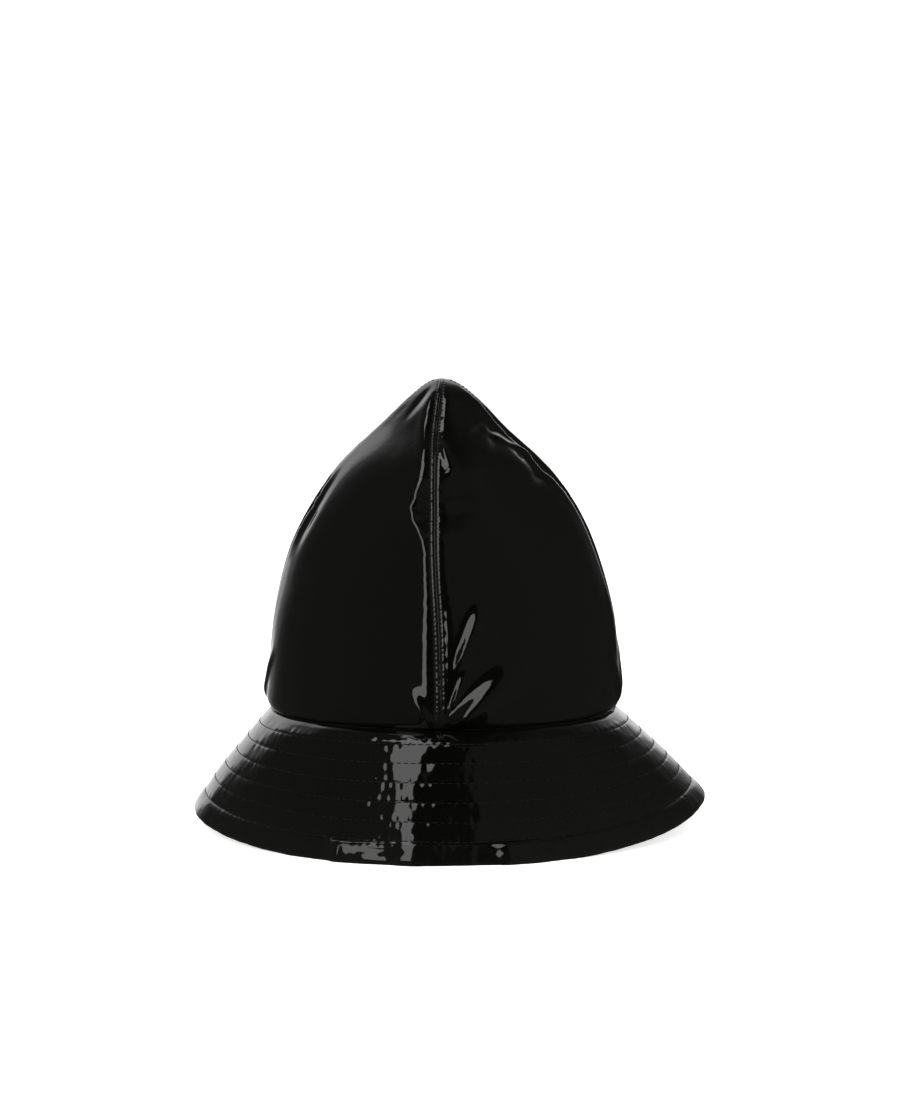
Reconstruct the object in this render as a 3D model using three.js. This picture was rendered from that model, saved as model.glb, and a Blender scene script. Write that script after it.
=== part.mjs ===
// A fishing hat in black patent cloth, in millimetres, +Z up, standing on its brim on the plane z = 0.
// Four wedge-shaped panels meet in a point and make the tall crown. Their seams run down the front
// (-Y), the right (+X), the back and the left. The brim is one ring of two quilted layers that slopes
// down and out from the crown's lower seam to a soft turned edge.
import * as THREE from "three";

// Driving dimensions.
const HEAD_HALF_WIDTH = 88.2; // crown opening at the lower seam, from the middle to the side
const HEAD_HALF_LENGTH = 92; // the same, from the middle to the front
const JOIN_HEIGHT = 60.5; // lower seam above the surface that the hat stands on
const CROWN_HEIGHT = 168.7; // point above the lower seam
const CROWN_CLOTH = 1.6; // patent cloth with its backing
const BRIM_WIDTH = 66; // from the lower seam to the edge, along the slope
const BRIM_LAYERS = 2.6; // both layers of the brim, sewn together
const BRIM_BANDS = 7; // bands between the rows of stitches
const STITCHED_IN = 0.45; // how far a row of stitches pulls the upper layer in
const EDGE_RADIUS = 1.7; // the turned edge is a little fuller than the rest
const EDGE_PRESSED = 0.25; // how far the weight of the hat presses the turned edge flat
const SEWN_GAP = 0.36; // clearance that keeps sewn pieces apart

// The crown's outline over a side seam, from the lower seam up to the point, and how far its middle
// leans to the right. The cloth rolls over the lower seam in a soft lip, stands almost upright and
// then closes at about 45 degrees.
const CROWN_OUTLINE = [
  { station: "lower_seam", height: 0, halfWidth: HEAD_HALF_WIDTH, lean: 0 },
  { station: "under_lip", height: 2.5, halfWidth: 90.2, lean: 0 },
  { station: "lip", height: 9, halfWidth: 91.3, lean: 0.3 },
  { station: "wall_low", height: 24, halfWidth: 90.1, lean: 0.6 },
  { station: "wall", height: 46, halfWidth: 87.9, lean: 0.7 },
  { station: "shoulder_low", height: 66, halfWidth: 83.6, lean: 0.2 },
  { station: "shoulder", height: 84, halfWidth: 77.9, lean: -0.1 },
  { station: "shoulder_high", height: 101, halfWidth: 70.1, lean: 0 },
  { station: "slope_low", height: 116, halfWidth: 60.8, lean: 0 },
  { station: "slope", height: 130, halfWidth: 48.6, lean: -0.2 },
  { station: "slope_high", height: 143, halfWidth: 34.4, lean: -0.6 },
  { station: "neck", height: 154, halfWidth: 23.6, lean: -0.3 },
  { station: "tip", height: 162, halfWidth: 14.6, lean: -0.3 },
  { station: "tip_top", height: 166.8, halfWidth: 6.6, lean: -0.5 },
  { station: "point", height: CROWN_HEIGHT, halfWidth: 0, lean: -0.6 },
];

// Each seam's angle from the front towards the right, at its foot and at the point, and how far it
// bows from a straight run halfway up. Each seam starts the panel on its right, seen from outside.
const SEAMS = [
  { seam: "front", foot: -1, top: -6.6, bow: 0.8, panel: "crown_panel_front_right" },
  { seam: "right", foot: 82, top: 82, bow: 4, panel: "crown_panel_back_right" },
  { seam: "back", foot: 179, top: 176, bow: 1, panel: "crown_panel_back_left" },
  { seam: "left", foot: 266, top: 270, bow: 4, panel: "crown_panel_front_left" },
];

// The crown is round at the lower seam. Towards the point its four panels flatten, so that the
// seams become corners: a section's exponent falls from 2, an ellipse, towards 1, a square.
const ROUND_SECTION = 2;
const POINTED_SECTION = 1.35;
const FLATTENS_FROM = 0;
const FLATTENS_TO = 140;

// Along each seam the topstitched allowances lie flat in a shallow channel between fuller rolls.
const CHANNEL_HALF_WIDTH = 4.5;
const CHANNEL_DEPTH = 1.1;
const ROLL_OFFSET = 8;
const ROLL_HALF_WIDTH = 5;
const ROLL_HEIGHT = 0.9;
const CHANNEL_FADES = { from: 30, to: 6 }; // half widths of the crown between which it dies away
const FOOT_HOLDS = 9; // height below which the lower seam holds the cloth to its plain outline

// Main dents and folds of the crown: place as an angle from the front towards the right and a height
// above the lower seam, half length along its run, half width across it, depth (inwards is positive)
// and run, as an angle from upright towards the right.
const CROWN_FOLDS = [
  { fold: "front_left_dent", angle: -10, height: 105, length: 19, width: 7, depth: 1.8, run: 0 },
  { fold: "front_right_dent", angle: 3, height: 108, length: 12, width: 5, depth: 1.2, run: 10 },
  { fold: "foot_pucker_broad", angle: 10, height: 15, length: 15, width: 5, depth: -1, run: 40 },
  { fold: "foot_pucker_steep", angle: 6, height: 36, length: 16, width: 4, depth: -0.9, run: 25 },
  { fold: "right_seam_dent", angle: 80, height: 136, length: 16, width: 9, depth: 2, run: 0 },
  { fold: "right_foot_dent", angle: 70, height: 27, length: 17, width: 8, depth: 2.2, run: 0 },
  { fold: "left_seam_dent", angle: 272, height: 100, length: 16, width: 9, depth: 2, run: 0 },
  { fold: "left_tip_hollow", angle: 310, height: 142, length: 13, width: 12, depth: 1.4, run: 30 },
  { fold: "back_left_sag", angle: 214, height: 70, length: 34, width: 22, depth: 2.2, run: 20 },
  { fold: "back_right_sag", angle: 139, height: 92, length: 30, width: 20, depth: 2, run: -25 },
];

// The brim, round the hat from the front towards the right: how far its edge is lifted off the
// surface, and how far its slope bows outwards, most of it in the lower half.
const BRIM_RIM = [
  { angle: 0, lift: 0, bow: 0.8 },
  { angle: 30, lift: 0, bow: 0.8 },
  { angle: 60, lift: 5.2, bow: 1.2 },
  { angle: 90, lift: 14, bow: 1.4 },
  { angle: 120, lift: 6.6, bow: 1.8 },
  { angle: 150, lift: 0.2, bow: 1.2 },
  { angle: 180, lift: 0, bow: 1.2 },
  { angle: 210, lift: 0, bow: 1 },
  { angle: 240, lift: 3.2, bow: 1.6 },
  { angle: 270, lift: 7.8, bow: 2 },
  { angle: 300, lift: 2.8, bow: 1.6 },
  { angle: 330, lift: 0, bow: 0.8 },
];

const BOW_POWER = 1.7; // above 1 the bow's fullest point lies nearer the edge than the seam

// How finely the cloth is faceted.
const PANEL_SHARES = [0, 0.05, 0.1, 0.17, 0.28, 0.42, 0.58, 0.72, 0.83, 0.9, 0.95, 1];
const ROWS_PER_STATION = 2;
const BRIM_SPOKES = 72;
const ROWS_PER_BAND = 2;
const UNDERSIDE_ROWS = 4;
const EDGE_CORNERS = [-15, -60, -120]; // angles of the turned edge's corners from straight out

const PATENT = { color: 0x0b0b0a, roughness: 0.08, metalness: 0 };

const FULL_TURN = 360;
const QUARTER = 90;
const radians = THREE.MathUtils.degToRad;
const between = THREE.MathUtils.lerp;
const easing = THREE.MathUtils.smoothstep;

const crownRows = (CROWN_OUTLINE.length - 1) * ROWS_PER_STATION;
const crownOutline = new THREE.CatmullRomCurve3(
  CROWN_OUTLINE.map((row) => new THREE.Vector3(row.halfWidth, row.height, row.lean)),
);

// A column of a table that runs round the hat, on a smooth closed curve through its rows.
function roundTable(table, column, angle) {
  const values = table.map((row) => new THREE.Vector3(row[column], 0, 0));
  const share = THREE.MathUtils.euclideanModulo(angle, FULL_TURN) / FULL_TURN;
  return new THREE.CatmullRomCurve3(values, true, "catmullrom").getPoint(share).x;
}

function seamAngle(seam, height) {
  const up = height / CROWN_HEIGHT;
  return between(seam.foot, seam.top, up) + seam.bow * 4 * up * (1 - up);
}

// How far the cloth sinks in from the plain crown at a point, from the seams' channels and the folds.
function sinks(angle, share, height, halfWidth) {
  const toSeam = radians(QUARTER * Math.min(share, 1 - share)) * halfWidth;
  const channel = CHANNEL_DEPTH * Math.exp(-((toSeam / CHANNEL_HALF_WIDTH) ** 2));
  const roll = ROLL_HEIGHT * Math.exp(-(((toSeam - ROLL_OFFSET) / ROLL_HALF_WIDTH) ** 2));
  let depth = (channel - roll) * easing(halfWidth, CHANNEL_FADES.to, CHANNEL_FADES.from);
  for (const fold of CROWN_FOLDS) {
    const turned = THREE.MathUtils.euclideanModulo(angle - fold.angle + FULL_TURN / 2, FULL_TURN);
    const side = radians(turned - FULL_TURN / 2) * halfWidth;
    const up = height - fold.height;
    const run = radians(fold.run);
    const along = up * Math.cos(run) + side * Math.sin(run);
    const off = side * Math.cos(run) - up * Math.sin(run);
    depth += fold.depth * Math.exp(-((along / fold.length) ** 2) - (off / fold.width) ** 2);
  }
  return depth * easing(height, 0, FOOT_HOLDS);
}

// A point of a crown panel at shares of its width and of the outline, at a depth under its face.
function crownPoint(panel, share, upShare, under) {
  const { x: halfWidth, y: height, z: lean } = crownOutline.getPoint(upShare);
  const tangent = crownOutline.getTangent(upShare);
  const outline = new THREE.Vector2(tangent.y, -tangent.x).normalize();
  const starts = seamAngle(SEAMS[panel], height);
  const ends = seamAngle(SEAMS[(panel + 1) % SEAMS.length], height);
  const angle = between(starts, ends < starts ? ends + FULL_TURN : ends, share);
  const corner = radians(QUARTER * share);
  const power = between(ROUND_SECTION, POINTED_SECTION, easing(height, FLATTENS_FROM, FLATTENS_TO));
  const squared = (Math.sin(corner) ** power + Math.cos(corner) ** power) ** (-1 / power);
  const longer = HEAD_HALF_LENGTH / HEAD_HALF_WIDTH;
  const turn = radians(angle);
  const round = 1 / Math.hypot(Math.sin(turn), Math.cos(turn) / longer);
  const inwards = sinks(angle, share, height, halfWidth) + under;
  const radius = Math.max(halfWidth * squared * round - inwards * outline.x, 0);
  return new THREE.Vector3(
    lean + Math.sin(turn) * radius,
    -Math.cos(turn) * radius,
    JOIN_HEIGHT + SEWN_GAP + height - inwards * outline.y,
  );
}

// A closed mesh from vertices and faces with shared corners.
function solid(name, vertices, faces) {
  const geometry = new THREE.BufferGeometry().setFromPoints(vertices);
  geometry.setIndex(faces.flat());
  geometry.computeVertexNormals();
  const mesh = new THREE.Mesh(geometry, new THREE.MeshStandardMaterial(PATENT));
  mesh.name = name;
  return mesh;
}

// One crown panel: an outer and an inner face that each close in a point, joined along both seams
// and the lower edge. It stands clear of its neighbours by half a sewn gap on each side.
function crownPanel(panel) {
  const vertices = [];
  const faces = [];
  const columns = PANEL_SHARES.length;
  const outwards = radians(QUARTER * (panel + 0.5));
  const clear = new THREE.Vector3(Math.sign(Math.sin(outwards)), -Math.sign(Math.cos(outwards)), 0);
  clear.multiplyScalar(SEWN_GAP / 2);
  for (const under of [0, CROWN_CLOTH]) {
    for (let row = 0; row < crownRows; row++) {
      for (const share of PANEL_SHARES) {
        vertices.push(crownPoint(panel, share, row / crownRows, under).add(clear));
      }
    }
    vertices.push(crownPoint(panel, 0, 1, under).add(clear));
  }
  const at = (layer, row, column) => layer * (crownRows * columns + 1) + row * columns + column;
  const quad = (a, b, c, d) => faces.push([a, b, c], [a, c, d]);
  const outer = (row, column) => at(0, row, row === crownRows ? 0 : column);
  const inner = (row, column) => at(1, row, row === crownRows ? 0 : column);
  for (let row = 0; row < crownRows; row++) {
    for (let column = 1; column < columns; column++) {
      const left = column - 1;
      quad(outer(row, left), outer(row, column), outer(row + 1, column), outer(row + 1, left));
      quad(inner(row, column), inner(row, left), inner(row + 1, left), inner(row + 1, column));
    }
    const last = columns - 1;
    quad(inner(row, 0), outer(row, 0), outer(row + 1, 0), inner(row + 1, 0));
    quad(outer(row, last), inner(row, last), inner(row + 1, last), outer(row + 1, last));
  }
  for (let column = 1; column < columns; column++) {
    quad(inner(0, column - 1), inner(0, column), outer(0, column), outer(0, column - 1));
  }
  const whole = faces.filter(([a, b, c]) => a !== b && b !== c && a !== c);
  return solid(SEAMS[panel].panel, vertices, whole);
}

// The brim's section at an angle, as distances out from the crown's wall and heights: down the
// quilted upper face, round the turned edge and back up the plain underside.
function brimSection(angle) {
  const lift = Math.max(roundTable(BRIM_RIM, "lift", angle), 0);
  const bow = roundTable(BRIM_RIM, "bow", angle);
  const half = BRIM_LAYERS / 2;
  const edgeHeight = lift + EDGE_RADIUS - EDGE_PRESSED;
  const length = BRIM_WIDTH - EDGE_RADIUS;
  const slope = Math.asin((JOIN_HEIGHT - edgeHeight) / length);
  const down = new THREE.Vector2(Math.cos(slope), -Math.sin(slope));
  const out = new THREE.Vector2(Math.sin(slope), Math.cos(slope));
  const at = (share, proud) =>
    new THREE.Vector2(0, JOIN_HEIGHT)
      .addScaledVector(down, length * share)
      .addScaledVector(out, bow * Math.sin(Math.PI * share ** BOW_POWER) + proud);
  const seamed = (side) => new THREE.Vector2((side * half) / Math.sin(slope), JOIN_HEIGHT);
  const section = [seamed(1)];
  const rows = BRIM_BANDS * ROWS_PER_BAND;
  for (let row = 1; row < rows; row++) {
    section.push(at(row / rows, half - (row % ROWS_PER_BAND === 0 ? STITCHED_IN : 0)));
  }
  section.push(at(1, EDGE_RADIUS));
  for (const corner of EDGE_CORNERS) {
    const edge = new THREE.Vector2(Math.cos(radians(corner)), Math.sin(radians(corner)));
    const point = at(1, 0).addScaledVector(edge, EDGE_RADIUS);
    point.y = Math.max(point.y, lift);
    section.push(point);
  }
  section.push(at(1, -EDGE_RADIUS));
  for (let row = UNDERSIDE_ROWS - 1; row > 0; row--) {
    section.push(at(row / UNDERSIDE_ROWS, -half));
  }
  section.push(seamed(-1));
  return section;
}

// The brim's sections stand square to the lower seam's ellipse, all the way round.
function brim() {
  const vertices = [];
  const faces = [];
  const wall = CROWN_CLOTH / 2;
  let ring = 0;
  for (let spoke = 0; spoke < BRIM_SPOKES; spoke++) {
    const angle = (FULL_TURN * spoke) / BRIM_SPOKES;
    const side = Math.sin(radians(angle));
    const front = -Math.cos(radians(angle));
    const square = new THREE.Vector2(side / HEAD_HALF_WIDTH, front / HEAD_HALF_LENGTH).normalize();
    const section = brimSection(angle);
    ring = section.length;
    for (const { x: reach, y: height } of section) {
      const x = side * (HEAD_HALF_WIDTH - wall) + square.x * reach;
      const y = front * (HEAD_HALF_LENGTH - wall) + square.y * reach;
      vertices.push(new THREE.Vector3(x, y, height));
    }
  }
  for (let spoke = 0; spoke < BRIM_SPOKES; spoke++) {
    const here = spoke * ring;
    const next = ((spoke + 1) % BRIM_SPOKES) * ring;
    for (let i = 0; i < ring; i++) {
      const j = (i + 1) % ring;
      faces.push([here + i, here + j, next + j], [here + i, next + j, next + i]);
    }
  }
  return solid("brim", vertices, faces);
}

const hat = new THREE.Group();
SEAMS.forEach((seam, panel) => hat.add(crownPanel(panel)));
hat.add(brim());

// The origin is the middle of the hat's outline, on the surface that it stands on.
const outline = new THREE.Box3().setFromObject(hat);
const middle = outline.getCenter(new THREE.Vector3());
hat.position.set(-middle.x, -middle.y, -outline.min.z);

export default hat;
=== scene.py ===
"""A pointed fishing hat in black patent cloth, sewn and quilted around its measured frame.

Sizes in tables and properties of cloth are millimetres, as a hatter would say them. Meshes are metres.
Angles round the hat start at the front, where the wearer looks, and grow towards the right.
"""

import math

import bpy
import numpy as np
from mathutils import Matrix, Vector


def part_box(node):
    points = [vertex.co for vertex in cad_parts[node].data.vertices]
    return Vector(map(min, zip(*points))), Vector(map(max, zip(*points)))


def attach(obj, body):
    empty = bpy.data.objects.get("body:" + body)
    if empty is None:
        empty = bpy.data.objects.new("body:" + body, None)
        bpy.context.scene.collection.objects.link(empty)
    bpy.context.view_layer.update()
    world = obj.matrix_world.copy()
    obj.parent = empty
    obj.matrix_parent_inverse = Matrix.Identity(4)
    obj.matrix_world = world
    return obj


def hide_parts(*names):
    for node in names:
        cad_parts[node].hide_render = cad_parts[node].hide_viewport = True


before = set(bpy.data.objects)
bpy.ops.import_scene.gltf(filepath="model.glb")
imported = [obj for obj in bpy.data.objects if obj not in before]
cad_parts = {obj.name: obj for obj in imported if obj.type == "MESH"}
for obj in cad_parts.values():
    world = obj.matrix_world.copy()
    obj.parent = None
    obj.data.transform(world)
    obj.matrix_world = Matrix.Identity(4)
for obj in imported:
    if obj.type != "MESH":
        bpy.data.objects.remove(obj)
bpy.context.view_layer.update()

bl_info = {
    "name": "Patent Fishing Hat",
    "version": (1, 0, 0),
    "blender": (4, 5, 0),
    "location": "3D View > Sidebar > Hat",
    "description": "Sews a pointed fishing hat of patent cloth around its frame",
    "category": "Add Mesh",
}

MM = 0.001
FULL_TURN = 360.0
QUARTER = 90.0

# Pieces, in the order in which each one's first seam comes round the hat from the front.
PANELS = (
    "crown_panel_front_right",
    "crown_panel_back_right",
    "crown_panel_back_left",
    "crown_panel_front_left",
)
SEAMS = ("front", "right", "back", "left")


def table(columns, *rows):
    """The rows of a table as dictionaries, by the names of its columns."""
    return tuple(dict(zip(columns.split(), row)) for row in rows)


# What the frame says about the hat's place and size.
JOIN_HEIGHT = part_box("brim")[1].z / MM
POINT = max((v.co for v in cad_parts[PANELS[0]].data.vertices), key=lambda co: co.z) / MM

# The gap between the frame's pieces at their seams, and the narrower one between the scene's panels.
SEWN_GAP = 0.36
SEAM_OPENS = 0.06
CROWN_HEIGHT = POINT.z - SEWN_GAP - JOIN_HEIGHT

# How far from the hat's middle the brim's waves are counted: halfway down its slope, and at its edge.
BRIM_MIDDLE = 112.0
BRIM_OUTER = 134.0

# Half the opening's width and length, how far the point leans to the right, and the crown's middle.
HEAD_HALF_WIDTH = 88.2
HEAD_HALF_LENGTH = 92.0
POINT_LEAN = -0.6
CROWN_X = POINT.x - SEWN_GAP / 2 - POINT_LEAN
CROWN_Y = POINT.y + SEWN_GAP / 2

# The crown's outline over a side seam: height over the lower seam, half width, lean to the right.
CROWN_OUTLINE = table(
    "station height half_width lean",
    ("lower_seam", 0, HEAD_HALF_WIDTH, 0),
    ("under_lip", 2.5, 90.2, 0),
    ("lip", 9, 91.3, 0.3),
    ("wall_low", 24, 90.1, 0.6),
    ("wall", 46, 87.9, 0.7),
    ("shoulder_low", 66, 83.6, 0.2),
    ("shoulder", 84, 77.9, -0.1),
    ("shoulder_high", 101, 70.1, 0),
    ("slope_low", 116, 60.8, 0),
    ("slope", 130, 48.6, -0.2),
    ("slope_high", 143, 34.4, -0.6),
    ("neck", 154, 23.6, -0.3),
    ("tip", 162, 14.6, -0.3),
    ("tip_top", 166.8, 6.6, -0.5),
    ("point", CROWN_HEIGHT, 0, POINT_LEAN),
)

# Each seam's angle at its foot and at the point, and how far it bows from straight halfway up.
SEAM_RUNS = table(
    "seam foot top bow",
    ("front", -1, -6.6, 0.8),
    ("right", 78, 79, 3),
    ("back", 179, 176, 1),
    ("left", 267, 271, 7),
)

# The crown's section: a superellipse, whose powers fall from an ellipse's towards a square's. The lower
# the power, the sharper the corner at the front and back seams, or at the side seams.
CROWN_SECTION = table(
    "height front_power side_power",
    (0, 2.0, 2.0),
    (7, 1.74, 2.0),
    (15, 1.6, 2.0),
    (30, 1.54, 2.0),
    (60, 1.52, 1.94),
    (90, 1.47, 1.8),
    (115, 1.42, 1.55),
    (140, 1.36, 1.4),
    (169, 1.36, 1.36),
)

# The channel along each seam, whose floor runs flat from a crest on its left to one on its right.
# Heights, the crests' distances from the seam, how far they stand out, how far the floor sinks before
# each crest and at the seam, and how softly the cloth bends over the left crest.
CHANNEL_COLUMNS = "height left right left_stand right_stand left_sinks right_sinks sunk soft".split()
CHANNELS = {
    "front": (
        (0, 4.8, 5.0, 0.4, -0.4, 0.1, 0.1, 0.0, 0.3),
        (30, 5.4, 5.0, 0.5, -0.4, 0.1, 0.5, 0.0, 0.3),
        (44, 5.0, 5.2, 0.5, -0.4, 0.1, 0.6, 0.0, 0.3),
        (56, 4.6, 5.2, 0.5, -0.4, 0.1, 0.5, 0.0, 0.2),
        (63, 4.2, 4.8, 0.4, -0.4, 0.1, 0.0, 0.0, 0.12),
        (86, 4.2, 4.8, 0.4, -0.4, 0.1, 0.0, 0.0, 0.12),
        (92, 6.6, 5.6, 0.7, -1.1, 0.1, 0.0, 0.0, 0.16),
        (102, 12.6, 8.4, 1.6, -2.6, 0.3, 0.0, 0.0, 0.35),
        (113, 8.8, 8.6, 1.2, -2.0, 0.3, 0.0, 0.0, 0.7),
        (122, 5.4, 6.6, 0.7, -0.7, 0.1, 0.1, 0.0, 0.8),
        (132, 5.0, 4.6, 0.7, -0.5, 0.1, 0.3, 0.0, 0.85),
        (142, 5.6, 4.4, 0.9, -0.7, 0.1, 0.5, 0.0, 1.0),
        (156, 4.8, 4.2, 0.6, -0.6, 0.1, 0.5, 0.0, 0.7),
        (169, 4.2, 3.8, 0.3, -0.3, 0.1, 0.2, 0.0, 0.3),
    ),
    "right": (
        (0, 6.0, 5.0, 0.3, 0.2, 0.3, 0.2, 0.5, 0.3),
        (12, 7.0, 5.0, 0.8, 0.0, 0.3, 0.2, 0.5, 0.3),
        (28, 10.0, 5.4, 1.5, -0.3, 0.2, 0.2, 0.4, 0.3),
        (42, 12.0, 5.4, 1.7, -0.4, 0.2, 0.2, 0.4, 0.3),
        (54, 9.0, 5.0, 1.1, -0.2, 0.2, 0.2, 0.5, 0.3),
        (70, 7.0, 5.0, 0.3, 0.2, 0.3, 0.2, 1.2, 0.3),
        (96, 6.0, 4.6, 0.3, 0.2, 0.3, 0.2, 1.0, 0.3),
        (112, 8.0, 5.0, 0.5, 0.2, 0.4, 0.2, 1.4, 0.3),
        (122, 12.5, 5.4, 0.9, 0.1, 0.6, 0.3, 2.6, 0.3),
        (134, 10.5, 5.4, 1.2, 0.1, 0.6, 0.3, 2.8, 0.3),
        (146, 7.5, 4.8, 0.9, 0.1, 0.4, 0.3, 1.8, 0.3),
        (156, 4.6, 4.2, 0.4, 0.2, 0.2, 0.1, 0.6, 0.25),
        (169, 3.6, 3.6, 0.3, 0.3, 0.1, 0.1, 0.3, 0.2),
    ),
    "back": (
        (0, 5.0, 5.0, 0.4, 0.4, 0.3, 0.3, 0.6, 0.3),
        (36, 5.0, 6.6, 0.5, 0.5, 0.4, 0.4, 1.0, 0.3),
        (70, 4.6, 4.6, 0.4, 0.4, 0.3, 0.3, 0.7, 0.3),
        (104, 7.2, 5.4, 0.5, 0.4, 0.4, 0.4, 1.1, 0.3),
        (130, 4.6, 4.8, 0.4, 0.4, 0.3, 0.3, 0.7, 0.3),
        (169, 3.6, 3.6, 0.3, 0.3, 0.2, 0.2, 0.4, 0.2),
    ),
    "left": (
        (0, 5.0, 5.0, 0.3, 0.3, 0.2, 0.3, 0.6, 0.3),
        (40, 5.4, 4.8, 0.3, 0.3, 0.2, 0.3, 0.8, 0.3),
        (76, 5.0, 5.0, 0.3, 0.3, 0.2, 0.3, 0.9, 0.3),
        (88, 5.0, 8.0, 0.2, 0.6, 0.3, 0.5, 2.2, 0.3),
        (102, 5.4, 10.5, 0.1, 0.9, 0.3, 0.6, 3.2, 0.3),
        (114, 5.4, 8.5, 0.1, 0.7, 0.3, 0.5, 2.2, 0.3),
        (126, 5.0, 5.0, 0.3, 0.3, 0.2, 0.3, 0.9, 0.3),
        (169, 3.6, 3.6, 0.3, 0.3, 0.1, 0.1, 0.3, 0.2),
    ),
}

# Main dents and folds: angle, height, half length and half width, depth inwards, and the degrees by
# which each runs over to the right from upright.
CROWN_FOLDS = table(
    "angle height length width depth run",
    (64, 133, 13, 5, 1.5, 0),
    (287, 101, 15, 4.5, 1.5, -4),
    (42, 147, 9, 2.4, 1.0, 62),
    (50, 141, 10, 2.6, 1.1, 50),
    (62, 120, 12, 3.0, 1.3, 66),
    (322, 158, 8, 3.2, 0.9, 20),
    (214, 70, 34, 22, 2.2, 20),
    (139, 92, 30, 20, 2.0, -25),
)

# Puckers where the seams meet the brim and at the point. Each is a ridge between two places beside
# a seam, given as how far to the right of it and how high, with its half width and its rise, and for
# some the share of its length at which it begins to fade.
PUCKERS = {
    "front": table(
        "side height to_side to_height width rise holds",
        (9, 28, 26, 62, 3.8, 2.5),
        (6, 10, 17, 34, 2.0, 1.2),
        (4, -1, 49, 33, 7.0, 5.2, 0.68),
        (-4, 2, -15, 19, 2.8, 1.6),
        (3, 138, 12, 118, 2.2, 0.8),
    ),
    "right": table(
        "side height to_side to_height width rise",
        (-4, 4, -22, 34, 3.6, 1.6),
        (5, 5, 20, 40, 3.8, 1.4),
        (-6, 128, -24, 142, 3.0, 0.9),
    ),
    "back": table(
        "side height to_side to_height width rise",
        (-5, 4, -24, 38, 3.6, 1.6),
        (4, 3, 26, 26, 3.8, 1.6),
        (5, 96, 22, 112, 3.6, 0.9),
    ),
    "left": table(
        "side height to_side to_height width rise",
        (4, 4, 20, 32, 3.6, 1.4),
        (-4, 3, -20, 36, 3.4, 1.5),
    ),
}

# The brim, round the hat: how far its edge is lifted and how far its slope bows out.
BRIM_RIM = table(
    "angle lift bow",
    (0, 0, 0.8),
    (30, 0, 0.8),
    (60, 5.2, 1.2),
    (90, 14, 1.4),
    (120, 6.6, 1.8),
    (150, 0.2, 1.2),
    (180, 0, 1.2),
    (210, 0, 1),
    (240, 3.2, 1.6),
    (270, 7.8, 2),
    (300, 2.8, 1.6),
    (330, 0, 0.8),
)
BOW_POWER = 1.7

# How far the first band stands out over a straight slope, round the hat. Then the shares of the slope
# at which it stands out most and not at all, and how sharply it turns there.
BRIM_LEDGE = table(
    "angle stands",
    (0, 5.6), (45, 3.4), (90, 0.5), (135, 1.8), (180, 2.6), (225, 1.8), (270, 0.5), (315, 3.4),
)
LEDGE_AT = 0.141
LEDGE_ENDS = 0.8
LEDGE_SHARPNESS = 22

# Soft folds down the brim: angle at the seam and at the edge, half widths to its left and right,
# rise at the edge, and how late down the slope it grows.
BRIM_FOLDS = table(
    "angle edge_angle left right rise grows",
    (-14, -7.5, 9, 9, 1.5, 1.6),
    (3, 5, 12, 12, -0.6, 1),
    (24, 21, 9, 12, 0.8, 5),
    (54, 64, 7, 9, 0.9, 1),
    (112, 108, 9, 9, 0.9, 1),
    (196, 190, 10, 12, 0.8, 1),
    (288, 284, 8, 8, 0.7, 1),
)

# Where the turned edge swells and then falls away to the right: its angle, how far the swell reaches
# to its left and right, and its rise. Then the dents pressed into the turned edge.
EDGE_SWELLS = table(
    "angle left right rise",
    (-25.5, 5, 18, 3.0),
    (16, 8, 22, 3.0),
    (128, 12, 30, 1.4),
    (232, 20, 24, 1.2),
)
EDGE_DENTS = table(
    "angle half_length half_width depth",
    (-16, 18, 1.7, 1.1),
    (14, 12, 1.4, 0.4),
    (101, 15, 1.6, 0.5),
    (247, 14, 1.6, 0.5),
)

# Shares of the slope: where the dents lie; where the edge begins to swell, to roll unevenly and to
# round off, with where each is whole; and how far down the seam holds the cloth.
EDGE_MIDDLE = 0.94
EDGE_BEGINS = (0.83, 0.91)
EDGE_ROLLS = (0.87, 0.97)
EDGE_ROUNDS = (0.9, 1.0)
SEAM_HOLDS = (0.0, 0.04)

# How wide a dent in the edge still is at its two ends, as a share of its width.
DENT_ENDS = 0.4

# The shares of the puckers and of the bands' fullness that are left at the hat's sides, where the brim
# is pulled flat, and the share of the puckers in front and behind.
SIDES_PUCKER = 0.3
SIDES_PUFF = 0.25
FRONT_PUCKER = 0.9

# Beside the dark strip in front the cloth lies flat: where, how wide, and the puckers left there.
CALM_FRONT = {"angle": 10, "half_width": 9, "left": 0.35}

# Waves round the brim: of which kind, their size, their height, and the seed of the first.
BRIM_WAVES = table(
    "kind size height seed",
    ("uneven_band", 62, 0.2, 400),
    ("uneven_band", 23, 0.12, 440),
    ("slack_band", 30, 1, 640),
    ("pucker", 5.2, 1, 500),
    ("pucker", 10.5, 0.8, 560),
    ("edge", 6.8, 0.03, 620),
    ("edge", 17, 0.08, 621),
    ("sag", 95, 0.3, 700),
)
STREAKS = {"seed": 720, "waves": 9, "drift": 2.4, "from": 0.02, "whole": 0.12}

# The bands: how full they are across, how much of that the turned edge loses, how wide a row's groove
# is, how far from a row its puckers lie and how wide they are, and the underside's share of it all.
BAND_FULLNESS = 2.3
EDGE_LOSES = 0.45
GROOVE_WIDTH = 0.55
BRIM_PUCKERS = {"away": 1.3, "width": 1.9}
UNDERSIDE = 0.6

# How far the brim's slope reaches out, as a share of its length and in millimetres.
SLOPE_REACH = 0.72
FOLDS_REACH = 46

# Beside a crown seam: how deep its row sinks between the stitches and how much more at each, how wide
# that groove is, and how far from the row its puckers lie and how wide they are.
CROWN_GROOVE = {"between": 0.06, "at_stitch": 0.3, "width": 0.6}
CROWN_PUCKERS = {"away": 0.6, "width": 1.9}

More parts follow.
